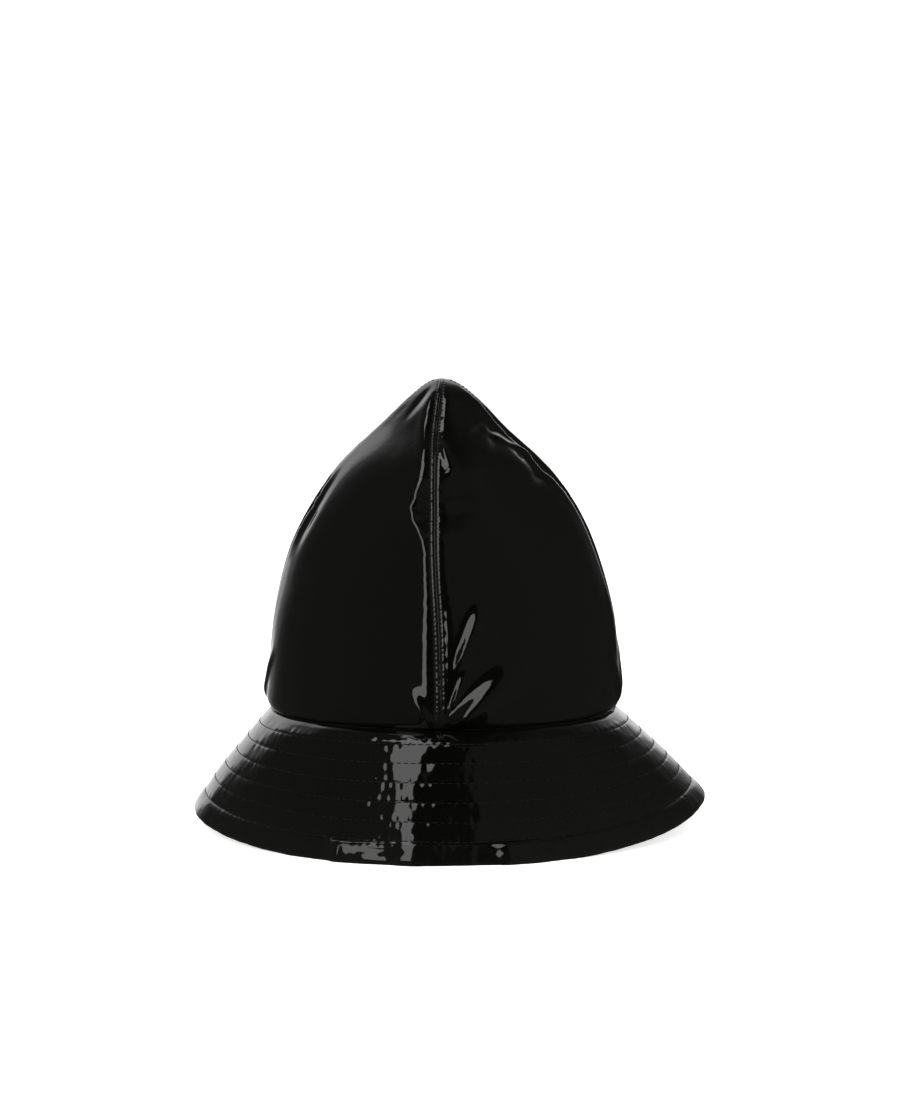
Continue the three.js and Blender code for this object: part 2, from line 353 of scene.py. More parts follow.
# A pucker's width where it starts and how much it gains, and the shares of its length over which it
# comes in, at which it begins to fade and at which it has gone.
PUCKER_WIDTHS = {"start": 0.55, "gains": 0.75}
PUCKER_ENDS = {"from": -0.12, "whole": 0.25, "holds": 0.62, "gone": 1.12}

# Half widths of the crown over which the channels and the stitches fade in from the point, and the
# heights over which the foot's seam lets the cloth go.
CHANNELS_FADE = (5, 26)
STITCHES_FADE = (2, 9)
FOOT_HOLDS = (0, 7)

# Slow waves in the crown's cloth, and the waver of the crests: their sizes and first seeds.
CROWN_SLACK = {"size": 52, "seed": 11}
CREST_WAVER = {"size": 7, "seed": 31}

# Faces across a panel: out to each distance from the seam, how wide they are, and the widest.
PANEL_FACES = ((3.4, 0.34), (9, 0.7), (22, 1.5))
WIDEST_FACE = 2.6

# Rings of faces on each band above and below, and round the edge. Those above crowd towards the rows
# of stitches, as a cosine does from this share of half a turn.
RINGS_ABOVE, RINGS_BELOW, RINGS_ROUND = 9, 4, 11
CROWDED = 0.12

# How far from a crown seam, and from the middle of the brim's edge in rings, the film is worn.
WORN_SEAM = 2.2
WORN_EDGE = 0.55

# Stitches: where up the crown its rows start and end, and how far a thread's middle stands off the
# cloth, as a share of its thickness.
CROWN_ROW_ENDS = (0.006, 0.972)
THREAD_STANDS = 0.3


def table_column(rows, name):
    return np.array([row[name] for row in rows], float)


def eased(x, low, high):
    """0 below low, 1 above high, and a smooth rise between them."""
    t = np.clip((x - low) / (high - low), 0.0, 1.0)
    return t * t * (3 - 2 * t)


def bell(x, width):
    """1 where x is 0, falling away smoothly to both sides."""
    return np.exp(-((x / width) ** 2))


def turned_by(angle, start):
    """The turn from a start to each angle, in radians, the short way round."""
    return np.radians(np.mod(angle - start + FULL_TURN / 2, FULL_TURN) - FULL_TURN / 2)


def by_sides(angle, sides, front):
    """A share round the hat, from one at its sides to one in front and behind."""
    return sides + (front - sides) * np.cos(np.radians(angle)) ** 2


def spline(knots, values, at):
    """A natural cubic spline through values at knots, one column of values at a time."""
    steps = np.diff(knots)
    count = len(knots)
    system = np.eye(count)
    right = np.zeros((count, values.shape[1]))
    for i in range(1, count - 1):
        system[i, i - 1 : i + 2] = (steps[i - 1], 2 * (steps[i - 1] + steps[i]), steps[i])
        rises = (values[i + 1] - values[i]) / steps[i] - (values[i] - values[i - 1]) / steps[i - 1]
        right[i] = 6 * rises
    bends = np.linalg.solve(system, right)
    i = np.clip(np.searchsorted(knots, at) - 1, 0, count - 2)
    step = steps[i][:, None]
    a = (knots[i + 1] - at)[:, None]
    b = (at - knots[i])[:, None]
    bent = (bends[i] * a**3 + bends[i + 1] * b**3) / (6 * step)
    straight = (values[i] / step - bends[i] * step / 6) * a
    straight = straight + (values[i + 1] / step - bends[i + 1] * step / 6) * b
    return bent + straight


def round_curve(rows, name, angle):
    """A column of a table that runs round the hat, on a smooth closed curve through its rows."""
    values = table_column(rows, name)
    place = np.mod(angle, FULL_TURN) / FULL_TURN * len(values)
    first = np.floor(place).astype(int)
    t = place - first
    p0, p1, p2, p3 = (values[(first + k) % len(values)] for k in (-1, 0, 1, 2))
    return 0.5 * (
        2 * p1
        + (p2 - p0) * t
        + (2 * p0 - 5 * p1 + 4 * p2 - p3) * t**2
        + (3 * p1 - p0 - 3 * p2 + p3) * t**3
    )


def cloth_noise(x, y, size, seed, waves=9):
    """Smooth uneven waves about 0, of about the given size in the units of x and y."""
    random = np.random.default_rng(seed)
    total = np.zeros(np.broadcast(x, y).shape)
    for _ in range(waves):
        turn = random.uniform(0, 2 * math.pi)
        shift = random.uniform(0, 2 * math.pi)
        rate = 2 * math.pi / (size * random.uniform(0.75, 1.5))
        total = total + np.sin((x * math.cos(turn) + y * math.sin(turn)) * rate + shift)
    return total / math.sqrt(waves)


def ripples(x, size, seed, waves=5):
    """The same along one line."""
    random = np.random.default_rng(seed)
    total = np.zeros(np.shape(x))
    for _ in range(waves):
        shift = random.uniform(0, 2 * math.pi)
        rate = 2 * math.pi / (size * random.uniform(0.7, 1.45))
        total = total + np.sin(x * rate + shift)
    return total / math.sqrt(waves)


def round_ripples(angle, size, seed, radius, waves=5, drift=0.0):
    """The same round the hat, in whole waves so that it closes. A drift turns the waves with it."""
    random = np.random.default_rng(seed)
    total = np.zeros(np.shape(angle + drift))
    for _ in range(waves):
        shift = random.uniform(0, 2 * math.pi)
        count = round(2 * math.pi * radius / (size * random.uniform(0.7, 1.45)))
        turn = random.uniform(-1, 1)
        total = total + np.sin(np.radians(angle) * count + shift + turn * drift)
    return total / math.sqrt(waves)


def brim_waves(kind, angle, radius, place=0):
    """The table's waves of one kind round the brim, drawn anew for each place."""
    return sum(
        row["height"] * round_ripples(angle, row["size"], row["seed"] + place, radius)
        for row in BRIM_WAVES
        if row["kind"] == kind
    )


# The outline's kinks are faired out over this length, and it is laid out in this many even steps.
FAIRED_OVER = 7.0
FAIR_STEPS = 1000


def fair_outline():
    """The crown's outline as close, evenly spaced points, with the stations' small kinks faired out."""
    stations = np.stack([table_column(CROWN_OUTLINE, n) for n in ("half_width", "height", "lean")], 1)
    beyond = stations[-2:-5:-1] * (-1, 1, 1)
    stations = np.vstack([stations, beyond])
    lengths = np.linalg.norm(np.diff(stations[:, :2], axis=0), axis=1)
    knots = np.concatenate([[0], np.cumsum(lengths)])
    top = knots[len(CROWN_OUTLINE) - 1]
    spacing = top / FAIR_STEPS
    reach = round(FAIRED_OVER / spacing)
    points = spline(knots, stations, np.arange(FAIR_STEPS + reach + 1) * spacing)
    before = 2 * points[0] - points[reach:0:-1]
    weights = np.hanning(2 * reach + 3)[1:-1]
    weights /= weights.sum()
    padded = np.vstack([before, points])
    faired = np.stack([np.convolve(column, weights, "valid") for column in padded.T], 1)
    faired[:, 1] *= CROWN_HEIGHT / faired[-1, 1]
    faired[-1, 0] = 0
    tangents = np.gradient(faired[:, :2], axis=0)
    tangents[-1] = (-1, 0)
    tangents /= np.linalg.norm(tangents, axis=1)[:, None]
    return np.linspace(0, 1, FAIR_STEPS + 1), faired, tangents, top


def crown_outline(shares):
    """Half width, height and lean at shares of the outline's length, and the outward direction there."""
    places, points, tangents, top = FAIR_OUTLINE
    here = np.stack([np.interp(shares, places, column) for column in points.T], 1)
    along = np.stack([np.interp(shares, places, column) for column in tangents.T], 1)
    return here, np.stack([along[:, 1], -along[:, 0]], 1), top


FAIR_OUTLINE = fair_outline()


def seam_angle(seam, height):
    run = SEAM_RUNS[seam % 4]
    up = height / CROWN_HEIGHT
    turns = FULL_TURN * (seam // 4)
    return run["foot"] + (run["top"] - run["foot"]) * up + run["bow"] * 4 * up * (1 - up) + turns


def up_the_crown(heights, values, height):
    """Values given up the crown, on a line with its corners rounded."""
    steps, reach = 240, 6
    fine = np.linspace(0, CROWN_HEIGHT, steps)
    straight = np.interp(fine, heights, values)
    weights = np.hanning(2 * reach + 1)
    padded = np.pad(straight, reach, mode="edge")
    return np.interp(height, fine, np.convolve(padded, weights / weights.sum(), "valid"))


def squareness(seam, corner, height):
    """The crown's radius at an angle past a seam, as a share of that at the seam, by Newton's method."""
    heights = table_column(CROWN_SECTION, "height")
    front = up_the_crown(heights, table_column(CROWN_SECTION, "front_power"), height)
    side = up_the_crown(heights, table_column(CROWN_SECTION, "side_power"), height)
    near, far = (front, side) if seam % 2 == 0 else (side, front)
    across = np.maximum(np.sin(corner), 1e-9)
    ahead = np.maximum(np.cos(corner), 1e-9)
    radius = np.ones(np.broadcast(corner, height).shape)
    for _ in range(6):
        over = (radius * across) ** near + (radius * ahead) ** far - 1
        steep = near * (radius * across) ** near + far * (radius * ahead) ** far
        radius = radius * (1 - over / steep)
    return radius


def plain_depth(seam, distance, height, half_width):
    """How deep the plain crown lies at a distance from a seam, under a plane that faces with the seam."""
    half_panel = math.radians(44)
    turn = np.clip(distance / np.maximum(half_width, 1), 0, half_panel)
    return half_width * (1 - squareness(seam, turn, height) * np.cos(turn)), turn


def channel_relief(seam, side, distance, height, half_width, settings):
    """How deep the cloth lies beside a seam: a flat channel between two crests, with a roll behind each."""
    rows = np.array(CHANNELS[SEAMS[seam % 4]])
    channel = {name: up_the_crown(rows[:, 0], rows[:, i], height) for i, name in enumerate(CHANNEL_COLUMNS)}
    left = plain_depth(seam, channel["left"], height, half_width)[0] - channel["left_stand"]
    right = plain_depth(seam, channel["right"], height, half_width)[0] - channel["right_stand"]
    width = channel["left"] + channel["right"]
    at_seam = (left * channel["right"] + right * channel["left"]) / width + channel["sunk"]
    name = "right" if side > 0 else "left"
    waver = ripples(height, CREST_WAVER["size"], CREST_WAVER["seed"] + 2 * seam + (side > 0))
    edge = channel[name] * (1 + settings.crest_waver * waver)
    stand = channel[name + "_stand"]
    sinks = channel[name + "_sinks"]
    plain, turn = plain_depth(seam, distance, height, half_width)
    crest = plain_depth(seam, edge, height, half_width)[0] - stand
    reach = np.where(stand > 0, settings.roll_width, settings.dent_width)
    panel = plain - stand * bell(np.maximum(distance - edge, 0), reach)
    share = distance / edge
    floor = at_seam + (crest - at_seam) * share + sinks * np.clip(1 - share**4, 0, 1)
    soft = channel["soft"] if side < 0 else 0.5 * channel["soft"]
    # Well past the crest only the panel counts, and far from where the two meet the bend is straight.
    well_past, soft_there, straight = 2, 0.1, 60
    soft = np.where(share < well_past, soft, soft_there)
    shaped = panel + soft * np.logaddexp(0, np.clip((floor - panel) / soft, -straight, straight))
    shaped = np.where(floor - panel > straight * soft, floor, shaped)
    return (shaped - plain) / np.cos(turn)


def pucker_relief(seam, along, height):
    """The ridges beside a seam, at distances along to its right."""
    relief = np.zeros(np.shape(along))
    for row in PUCKERS[SEAMS[seam % 4]]:
        run = np.array([row["to_side"] - row["side"], row["to_height"] - row["height"]], float)
        length = np.linalg.norm(run)
        run /= length
        x = along - row["side"]
        y = height - row["height"]
        share = (x * run[0] + y * run[1]) / length
        off = np.abs(x * run[1] - y * run[0])
        width = row["width"] * (PUCKER_WIDTHS["start"] + PUCKER_WIDTHS["gains"] * np.clip(share, 0, 1))
        fades = eased(share, row.get("holds", PUCKER_ENDS["holds"]), PUCKER_ENDS["gone"])
        taper = eased(share, PUCKER_ENDS["from"], PUCKER_ENDS["whole"]) * (1 - fades)
        relief -= row["rise"] * taper * bell(off, width)
    return relief


def stitch_relief(seam, side, distance, height, settings):
    """Beside a seam: the row of stitches pulls the cloth in, puckers it, and the panel turns under."""
    row = settings.row_offset
    places, points, _, top = FAIR_OUTLINE
    run = np.interp(height, points[:, 1], places) * top
    stitches = 0.5 + 0.5 * np.sin(2 * math.pi * run / settings.crown_pitch + side)
    groove = CROWN_GROOVE["between"] + CROWN_GROOVE["at_stitch"] * stitches
    groove = groove * bell(distance - row, CROWN_GROOVE["width"])
    uneven = ripples(height, 2 * settings.crown_pitch, 57 + seam * 2 + (side > 0))
    puckers = settings.pucker * uneven * bell(distance - row - CROWN_PUCKERS["away"], CROWN_PUCKERS["width"])
    turned = settings.seam_turn * np.clip(1 - distance / settings.seam_turn, 0, 1) ** 2
    return groove + puckers + turned


def crown_relief(panel, share, height, half_width, angle, settings):
    """How far the cloth lies in from the plain crown, in millimetres."""
    width = math.radians(QUARTER) * half_width
    from_left = share * width
    from_right = (1 - share) * width
    fade = eased(half_width, *CHANNELS_FADE)
    relief = np.zeros(np.shape(share))
    for seam, side, distance in ((panel, 1, from_left), (panel + 1, -1, from_right)):
        relief += channel_relief(seam, side, distance, height, half_width, settings) * fade
        relief += pucker_relief(seam, side * distance, height)
        sewn = stitch_relief(seam, side, distance, height, settings)
        relief += sewn * eased(half_width, *STITCHES_FADE)
    for fold in CROWN_FOLDS:
        side = turned_by(angle, fold["angle"]) * half_width
        up = height - fold["height"]
        run = math.radians(fold["run"])
        along = up * math.cos(run) + side * math.sin(run)
        off = side * math.cos(run) - up * math.sin(run)
        relief += fold["depth"] * np.exp(-((along / fold["length"]) ** 2) - (off / fold["width"]) ** 2)
    slack = cloth_noise((share - 0.5) * width, height, CROWN_SLACK["size"], CROWN_SLACK["seed"] + panel)
    relief += settings.slack * slack * fade
    return relief * eased(height, *FOOT_HOLDS)


def crown_points(panel, share, up, under, settings):
    """Points on a panel at shares of its width and height, under its face by a depth. In metres."""
    share, up = np.broadcast_arrays(np.asarray(share, float), np.asarray(up, float))
    here, outward, _ = crown_outline(up.ravel())
    half_width, height, lean = (here[:, i].reshape(up.shape) for i in range(3))
    out_side, out_up = (outward[:, i].reshape(up.shape) for i in range(2))
    half_width = np.maximum(half_width, 0)
    left = seam_angle(panel, height)
    angle = left + (seam_angle(panel + 1, height) - left) * share
    squared = squareness(panel, np.radians(QUARTER * np.clip(share, 0, 1)), height)
    turn = np.radians(angle)
    longer = HEAD_HALF_LENGTH / HEAD_HALF_WIDTH
    rounded = 1 / np.hypot(np.sin(turn), np.cos(turn) / longer)
    inwards = crown_relief(panel, share, height, half_width, angle, settings) + under
    radius = np.maximum(half_width * squared * rounded - inwards * out_side, 0)
    middle = math.radians(QUARTER * (panel + 0.5))
    clear = SEAM_OPENS / 2
    x = CROWN_X + lean + np.sin(turn) * radius + math.copysign(clear, math.sin(middle))
    y = CROWN_Y - np.cos(turn) * radius - math.copysign(clear, math.cos(middle))
    z = JOIN_HEIGHT + SEWN_GAP + height - inwards * out_up
    return np.stack([x, y, z], -1) * MM


def graded_shares(steps):
    """Shares from 0 to 1 across a panel, close together along both seams, by steps of (to, spacing)."""
    places = [0.0]
    for to, spacing in steps:
        count = max(1, round((to - places[-1]) / spacing))
        places.extend(np.linspace(places[-1], to, count + 1)[1:])
    half = np.array(places) / places[-1] / 2
    return np.concatenate([half, 1 - half[-2::-1]])


def make_object(name, points, faces, uvs=None, masks=None):
    mesh = bpy.data.meshes.new(name)
    mesh.from_pydata(np.asarray(points).tolist(), [], faces)
    mesh.polygons.foreach_set("use_smooth", [True] * len(mesh.polygons))
    corners = np.zeros(len(mesh.loops), np.int32)
    mesh.loops.foreach_get("vertex_index", corners)
    if uvs is not None:
        layer = mesh.uv_layers.new(name="cloth")
        layer.data.foreach_set("uv", np.asarray(uvs, np.float32)[corners].ravel())
    for mask, values in (masks or {}).items():
        attribute = mesh.attributes.new(mask, "FLOAT", "POINT")
        attribute.data.foreach_set("value", np.asarray(values, np.float32).ravel())
    mesh.validate()
    piece = bpy.data.objects.new(name, mesh)
    bpy.context.scene.collection.objects.link(piece)
    return piece


def strips(rows, columns):
    """Quads of a grid of vertices."""
    firsts = (row * columns + column for row in range(rows - 1) for column in range(columns - 1))
    return [(a, a + 1, a + 1 + columns, a + columns) for a in firsts]


def crown_panel_piece(panel, settings):
    """One shell of patent cloth with its backing, closed along its seams, its foot and at the point."""
    half_top = HEAD_HALF_WIDTH * math.radians(QUARTER) / 2
    shares = graded_shares((*PANEL_FACES, (half_top, WIDEST_FACE)))
    columns = len(shares)
    rows = settings.crown_rows
    ups = np.linspace(0, 1, rows + 1)
    top_length = crown_outline([0])[2]
    vertices, uvs, edges = [], [], []
    for under in (0, settings.cloth):
        grid = crown_points(panel, shares[None, :], ups[:-1, None], under, settings)
        tip = crown_points(panel, np.zeros(1), np.ones(1), under, settings)
        here, _, _ = crown_outline(ups)
        width = math.radians(QUARTER) * np.maximum(here[:, 0], 0)
        u = (shares[None, :] - 0.5) * width[:-1, None]
        v = np.broadcast_to(ups[:-1, None] * top_length, u.shape)
        to_seam = np.minimum(shares, 1 - shares)[None, :] * width[:-1, None]
        vertices += [grid.reshape(-1, 3), tip]
        uvs += [np.stack([u, v], -1).reshape(-1, 2), [[0, top_length]]]
        edges += [bell(to_seam, WORN_SEAM).ravel(), [1.0]]
    layer = rows * columns + 1
    faces = strips(rows, columns)
    tip = layer - 1
    faces += [(tip - columns + c, tip - columns + c + 1, tip) for c in range(columns - 1)]
    outer_count = len(faces)
    faces += [tuple(i + layer for i in reversed(face)) for face in faces[:outer_count]]
    rim = [r * columns for r in range(rows)]
    far_rim = [r * columns + columns - 1 for r in range(rows)]
    for a, b in zip(rim, rim[1:] + [tip]):
        faces.append((a + layer, a, b, b + layer))
    for a, b in zip(far_rim, far_rim[1:] + [tip]):
        faces.append((a, a + layer, b + layer, b))
    for c in range(columns - 1):
        faces.append((c + layer, c + 1 + layer, c + 1, c))
    name = PANELS[panel].replace("crown_panel", "crown_cloth")
    piece = make_object(name, np.vstack(vertices), faces, np.vstack(uvs), {"worn": np.concatenate(edges)})
    backing = np.zeros(len(faces), np.int32)
    backing[outer_count : 2 * outer_count] = 1
    piece.data.polygons.foreach_set("material_index", backing)
    return piece


def brim_section(angle):
    """How far the brim's edge is lifted and how far its slope bows out, at angles. In millimetres."""
    lift = np.maximum(round_curve(BRIM_RIM, "lift", angle), 0)
    bow = round_curve(BRIM_RIM, "bow", angle)
    return lift, bow


def brim_points(angle, share, facing, proud, settings):
    """Points on the brim at shares of its slope, proud of its middle in the direction facing. In metres.

    Facing turns from 90 on the upper face, round the edge at 0, to -90 on the underside.
    """
    lift, bow = brim_section(angle)
    edge_height = lift + settings.edge_radius - settings.edge_pressed
    length = settings.brim_width - settings.edge_radius
    slope = np.arcsin((JOIN_HEIGHT - edge_height) / length)
    down = np.stack([np.cos(slope), -np.sin(slope)], -1)
    out = np.stack([np.sin(slope), np.cos(slope)], -1)
    bowed = bow * np.sin(np.pi * share**BOW_POWER)
    turn = np.radians(facing)
    along = length * share + np.cos(turn) * proud
    off = bowed + np.sin(turn) * proud
    reach = down[..., 0] * along + out[..., 0] * off
    height = JOIN_HEIGHT + down[..., 1] * along + out[..., 1] * off
    side = np.sin(np.radians(angle))
    front = -np.cos(np.radians(angle))
    square = np.stack([side / HEAD_HALF_WIDTH, front / HEAD_HALF_LENGTH], -1)
    square /= np.linalg.norm(square, axis=-1, keepdims=True)
    x = CROWN_X + side * (HEAD_HALF_WIDTH - settings.cloth / 2) + square[..., 0] * reach
    y = CROWN_Y + front * (HEAD_HALF_LENGTH - settings.cloth / 2) + square[..., 1] * reach
    return np.stack([x, y, np.clip(height, 0, JOIN_HEIGHT)], -1) * MM


def quilt_relief(angle, share, settings):
    """How far the quilted cloth stands proud between its rows of stitches."""
    bands = settings.bands
    place = share * bands
    band = np.minimum(np.floor(place), bands - 1)
    within = place - band
    swell = 1 - np.abs(2 * within - 1) ** BAND_FULLNESS
    rolled_over = 1 - EDGE_LOSES * np.clip(2 * within - 1, 0, 1) ** 2
    swell = np.where((band == bands - 1) & (within > 0.5), rolled_over, swell)
    height = np.zeros(np.shape(share))
    for i in range(bands):
        uneven = brim_waves("uneven_band", angle, BRIM_MIDDLE, i)
        level = settings.puff * (1 + uneven) * by_sides(angle, SIDES_PUFF, 1)
        if i == bands - 1:
            level = level + settings.edge_puff
        slack = settings.band_slack * brim_waves("slack_band", angle, BRIM_MIDDLE, i)
        height = np.where(band == i, (level + slack) * swell, height)
    to_row = np.where(within < 0.5, within, 1 - within) * settings.brim_width / bands
    inner = (place > 0.5) & (place < bands - 0.5)
    near_row = np.where(within < 0.5, band, band + 1)
    pucker = np.zeros(np.shape(share))
    for row in range(1, bands):
        radius = HEAD_HALF_WIDTH + settings.brim_width * SLOPE_REACH * row / bands
        for side in (0, 1):
            here = (near_row == row) & ((band >= row) == side) & inner
            wave = brim_waves("pucker", angle, radius, row * 2 + side)
            pucker = np.where(here, wave * bell(to_row - BRIM_PUCKERS["away"], BRIM_PUCKERS["width"]), pucker)
    groove = np.where(inner, bell(to_row, GROOVE_WIDTH), 0)
    rolled = eased(share, *EDGE_ROLLS) * brim_waves("edge", angle, BRIM_OUTER)
    calm = bell(np.degrees(turned_by(angle, CALM_FRONT["angle"])), CALM_FRONT["half_width"])
    pulled = settings.pucker * by_sides(angle, SIDES_PUCKER, FRONT_PUCKER)
    pulled = pulled * (1 - (1 - CALM_FRONT["left"]) * calm)
    return height + pulled * pucker - settings.row_depth * groove + rolled


def brim_fold_relief(angle, share, settings):
    """Soft folds that run across the bands, the edge's swells and dents, the ledge, and slack."""
    relief = np.zeros(np.broadcast(angle, share).shape)
    for fold in BRIM_FOLDS:
        middle = fold["angle"] + (fold["edge_angle"] - fold["angle"]) * share
        off = turned_by(angle, middle) * (HEAD_HALF_WIDTH + FOLDS_REACH * share)
        width = np.where(off < 0, fold["left"], fold["right"])
        relief += fold["rise"] * share ** fold["grows"] * bell(off, width)
    on_edge = eased(share, *EDGE_BEGINS)
    for swell in EDGE_SWELLS:
        off = turned_by(angle, swell["angle"]) * BRIM_OUTER
        falls = np.where(off < 0, bell(off, swell["left"]), np.exp(-np.maximum(off, 0) / swell["right"]))
        relief += swell["rise"] * on_edge * falls
    for dent in EDGE_DENTS:
        off = turned_by(angle, dent["angle"]) * BRIM_OUTER
        along = np.clip(1 - (off / dent["half_length"]) ** 2, 0, 1)
        narrowed = dent["half_width"] * (DENT_ENDS + (1 - DENT_ENDS) * along)
        relief -= dent["depth"] * along * bell((share - EDGE_MIDDLE) * settings.brim_width, narrowed)
    stands = round_curve(BRIM_LEDGE, "stands", angle)
    past = share / LEDGE_AT
    rising = past - np.logaddexp(0, (past - 1) * LEDGE_SHARPNESS) / LEDGE_SHARPNESS
    falling = eased(share, LEDGE_AT, LEDGE_ENDS)
    relief += stands * np.clip(rising, 0, None) * (1 - falling)
    streaks = round_ripples(
        angle, settings.streak_size, STREAKS["seed"], BRIM_MIDDLE, STREAKS["waves"], STREAKS["drift"] * share
    )
    sag = brim_waves("sag", angle, BRIM_OUTER) * share
    return relief + sag + settings.streak * streaks * eased(share, STREAKS["from"], STREAKS["whole"])


def brim_place(angle, ring, settings):
    """The share, facing and stand of ring places.

    Rings go from 0 to 1 down the upper face, to 2 round the edge, and to 3 back under the brim.
    """
    share = np.where(ring <= 1, ring, np.where(ring <= 2, 1.0, 3 - ring))
    facing = np.where(ring <= 1, 90.0, np.where(ring <= 2, 90 - 180 * (ring - 1), -90.0))
    half = settings.layers / 2
    stand = half + (settings.edge_radius - half) * eased(share, *EDGE_ROUNDS)
    share = np.clip(share, 0, 1)
    quilt = quilt_relief(angle, share, settings) * np.where(facing >= 0, 1.0, UNDERSIDE)
    held = eased(share, *SEAM_HOLDS)
    folds = brim_fold_relief(angle, share, settings) * held * np.sin(np.radians(facing))
    return share, facing, stand + quilt * held + folds


def ring_places(bands):
    """The brim's rings of vertices, as brim_place counts them."""
    band = np.arange(bands)[:, None]
    within = np.linspace(0, 1, RINGS_ABOVE + 1)[:-1]
    swing = np.cos(np.pi * (CROWDED + (1 - 2 * CROWDED) * within)) / np.cos(np.pi * CROWDED)
    upper = np.unique(np.clip((band + 0.5 - 0.5 * swing) / bands, 0, 1))
    edge = 1 + np.linspace(0, 1, RINGS_ROUND + 1)
    lower = 3 - np.unique((band + np.linspace(0, 1, RINGS_BELOW + 1)[:-1]) / bands)[::-1]
    return np.concatenate([upper, edge, lower])


def quilted_brim_piece(settings):
    """The brim as one closed shell: quilted above, puffed round its edge, plain and flatter below."""
    spokes = settings.brim_spokes
    ring = ring_places(settings.bands)
    rings, angles = np.meshgrid(ring, np.arange(spokes) / spokes * FULL_TURN)
    share, facing, stand = brim_place(angles, rings, settings)
    points = brim_points(angles, share, facing, stand, settings)
    count = len(ring)
    faces = []
    for s in range(spokes):
        here, there = s * count, (s + 1) % spokes * count
        for i in range(count):
            j = (i + 1) % count
            faces.append((here + i, here + j, there + j, there + i))
    around = np.radians(angles) * (HEAD_HALF_WIDTH + share * settings.brim_width * SLOPE_REACH)
    across = rings * settings.brim_width
    uvs = np.stack([around, across], -1).reshape(-1, 2)
    worn = bell(rings - 1.5, WORN_EDGE)
    return make_object("quilted_brim", points.reshape(-1, 3), faces, uvs, {"worn": worn.ravel()})


def fill(tree, node, **inputs):
    """Numbers for a node's inputs, and links to those that are given a socket."""
    for name, value in inputs.items():
        socket = node.inputs[int(name[3:]) if name.startswith("in_") else name.replace("_", " ")]
        if isinstance(value, bpy.types.NodeSocket):
            tree.links.new(value, socket)
        else:
            socket.default_value = value


def add_node(tree, kind, settings=None, **inputs):
    """A node with its settings and its inputs."""
    node = tree.nodes.new(kind)
    for name, value in (settings or {}).items():
        setattr(node, name, value)
    fill(tree, node, **inputs)
    return node


def maths(tree, operation, first, second=0.0, clamp=False):
    settings = {"operation": operation, "use_clamp": clamp}
    return add_node(tree, "ShaderNodeMath", settings, in_0=first, in_1=second).outputs[0]


def blended(tree, blend_type, factor, first, second):
    """Two colours mixed by a factor."""
    settings = {"data_type": "RGBA", "blend_type": blend_type}
    return add_node(tree, "ShaderNodeMix", settings, in_0=factor, in_6=first, in_7=second).outputs[2]


def node_group(kind, name, inputs, outputs):
    """An empty group with typed sockets, and its input and output nodes."""
    tree = bpy.data.node_groups.new(name, kind)
    for socket, (socket_kind, value) in inputs.items():
        made = tree.interface.new_socket(socket, in_out="INPUT", socket_type=socket_kind)
        if value is not None:
            made.default_value = value
    for socket, socket_kind in outputs.items():
        tree.interface.new_socket(socket, in_out="OUTPUT", socket_type=socket_kind)
    return tree, tree.nodes.new("NodeGroupInput"), tree.nodes.new("NodeGroupOutput")


def film_group():
    """The glossy film on the cloth: slow unevenness, orange peel, tension lines, dust, and wear on edges."""
    tree, given, made = node_group(
        "ShaderNodeTree",
        "patent_film",
        {
            "Cloth": ("NodeSocketVector", None),
            "Worn": ("NodeSocketFloat", 0.0),
            "Film": ("NodeSocketColor", None),
            "Gloss": ("NodeSocketFloat", 0.05),
            "Peel": ("NodeSocketFloat", 0.01),
            "Slack": ("NodeSocketFloat", 0.05),
        },
        {"Color": "NodeSocketColor", "Roughness": "NodeSocketFloat", "Height": "NodeSocketFloat"},
    )
    cloth = given.outputs["Cloth"]
    slow = add_node(tree, "ShaderNodeTexNoise", Vector=cloth, Scale=0.085, Detail=2.0, Roughness=0.45)
    peel = add_node(tree, "ShaderNodeTexNoise", Vector=cloth, Scale=0.8, Detail=2.0, Roughness=0.55)
    pulled = add_node(tree, "ShaderNodeMapping", Vector=cloth, Scale=(0.55, 0.12, 0.3)).outputs[0]
    lines = add_node(tree, "ShaderNodeTexNoise", Vector=pulled, Scale=1.0, Detail=1.5, Roughness=0.5)
    height = maths(tree, "MULTIPLY", slow.outputs[0], given.outputs["Slack"])
    peeled = maths(tree, "MULTIPLY", peel.outputs[0], given.outputs["Peel"])
    lined = maths(tree, "MULTIPLY", lines.outputs[0], given.outputs["Peel"])
    height = maths(tree, "ADD", height, peeled)
    height = maths(tree, "ADD", height, lined)
    dust = add_node(tree, "ShaderNodeTexVoronoi", {"feature": "F1"}, Vector=cloth, Scale=0.11, Randomness=1.0)
    speck = maths(tree, "LESS_THAN", dust.outputs["Distance"], 0.018)
    mottle = add_node(tree, "ShaderNodeTexNoise", Vector=cloth, Scale=0.35, Detail=3.0, Roughness=0.6)
    rubbed = maths(tree, "MULTIPLY", given.outputs["Worn"], mottle.outputs[0])
    marked = maths(tree, "MAXIMUM", speck, maths(tree, "MULTIPLY", rubbed, 0.35), clamp=True)
    colour = blended(tree, "MIX", marked, given.outputs["Film"], (0.016, 0.016, 0.015, 1))
    rough = maths(tree, "ADD", given.outputs["Gloss"], maths(tree, "MULTIPLY", marked, 0.09))
    hazy = maths(tree, "MULTIPLY", maths(tree, "SUBTRACT", mottle.outputs[0], 0.5), 0.02)
    fill(tree, made, Color=colour, Roughness=maths(tree, "ADD", rough, hazy, clamp=True), Height=height)
    return tree


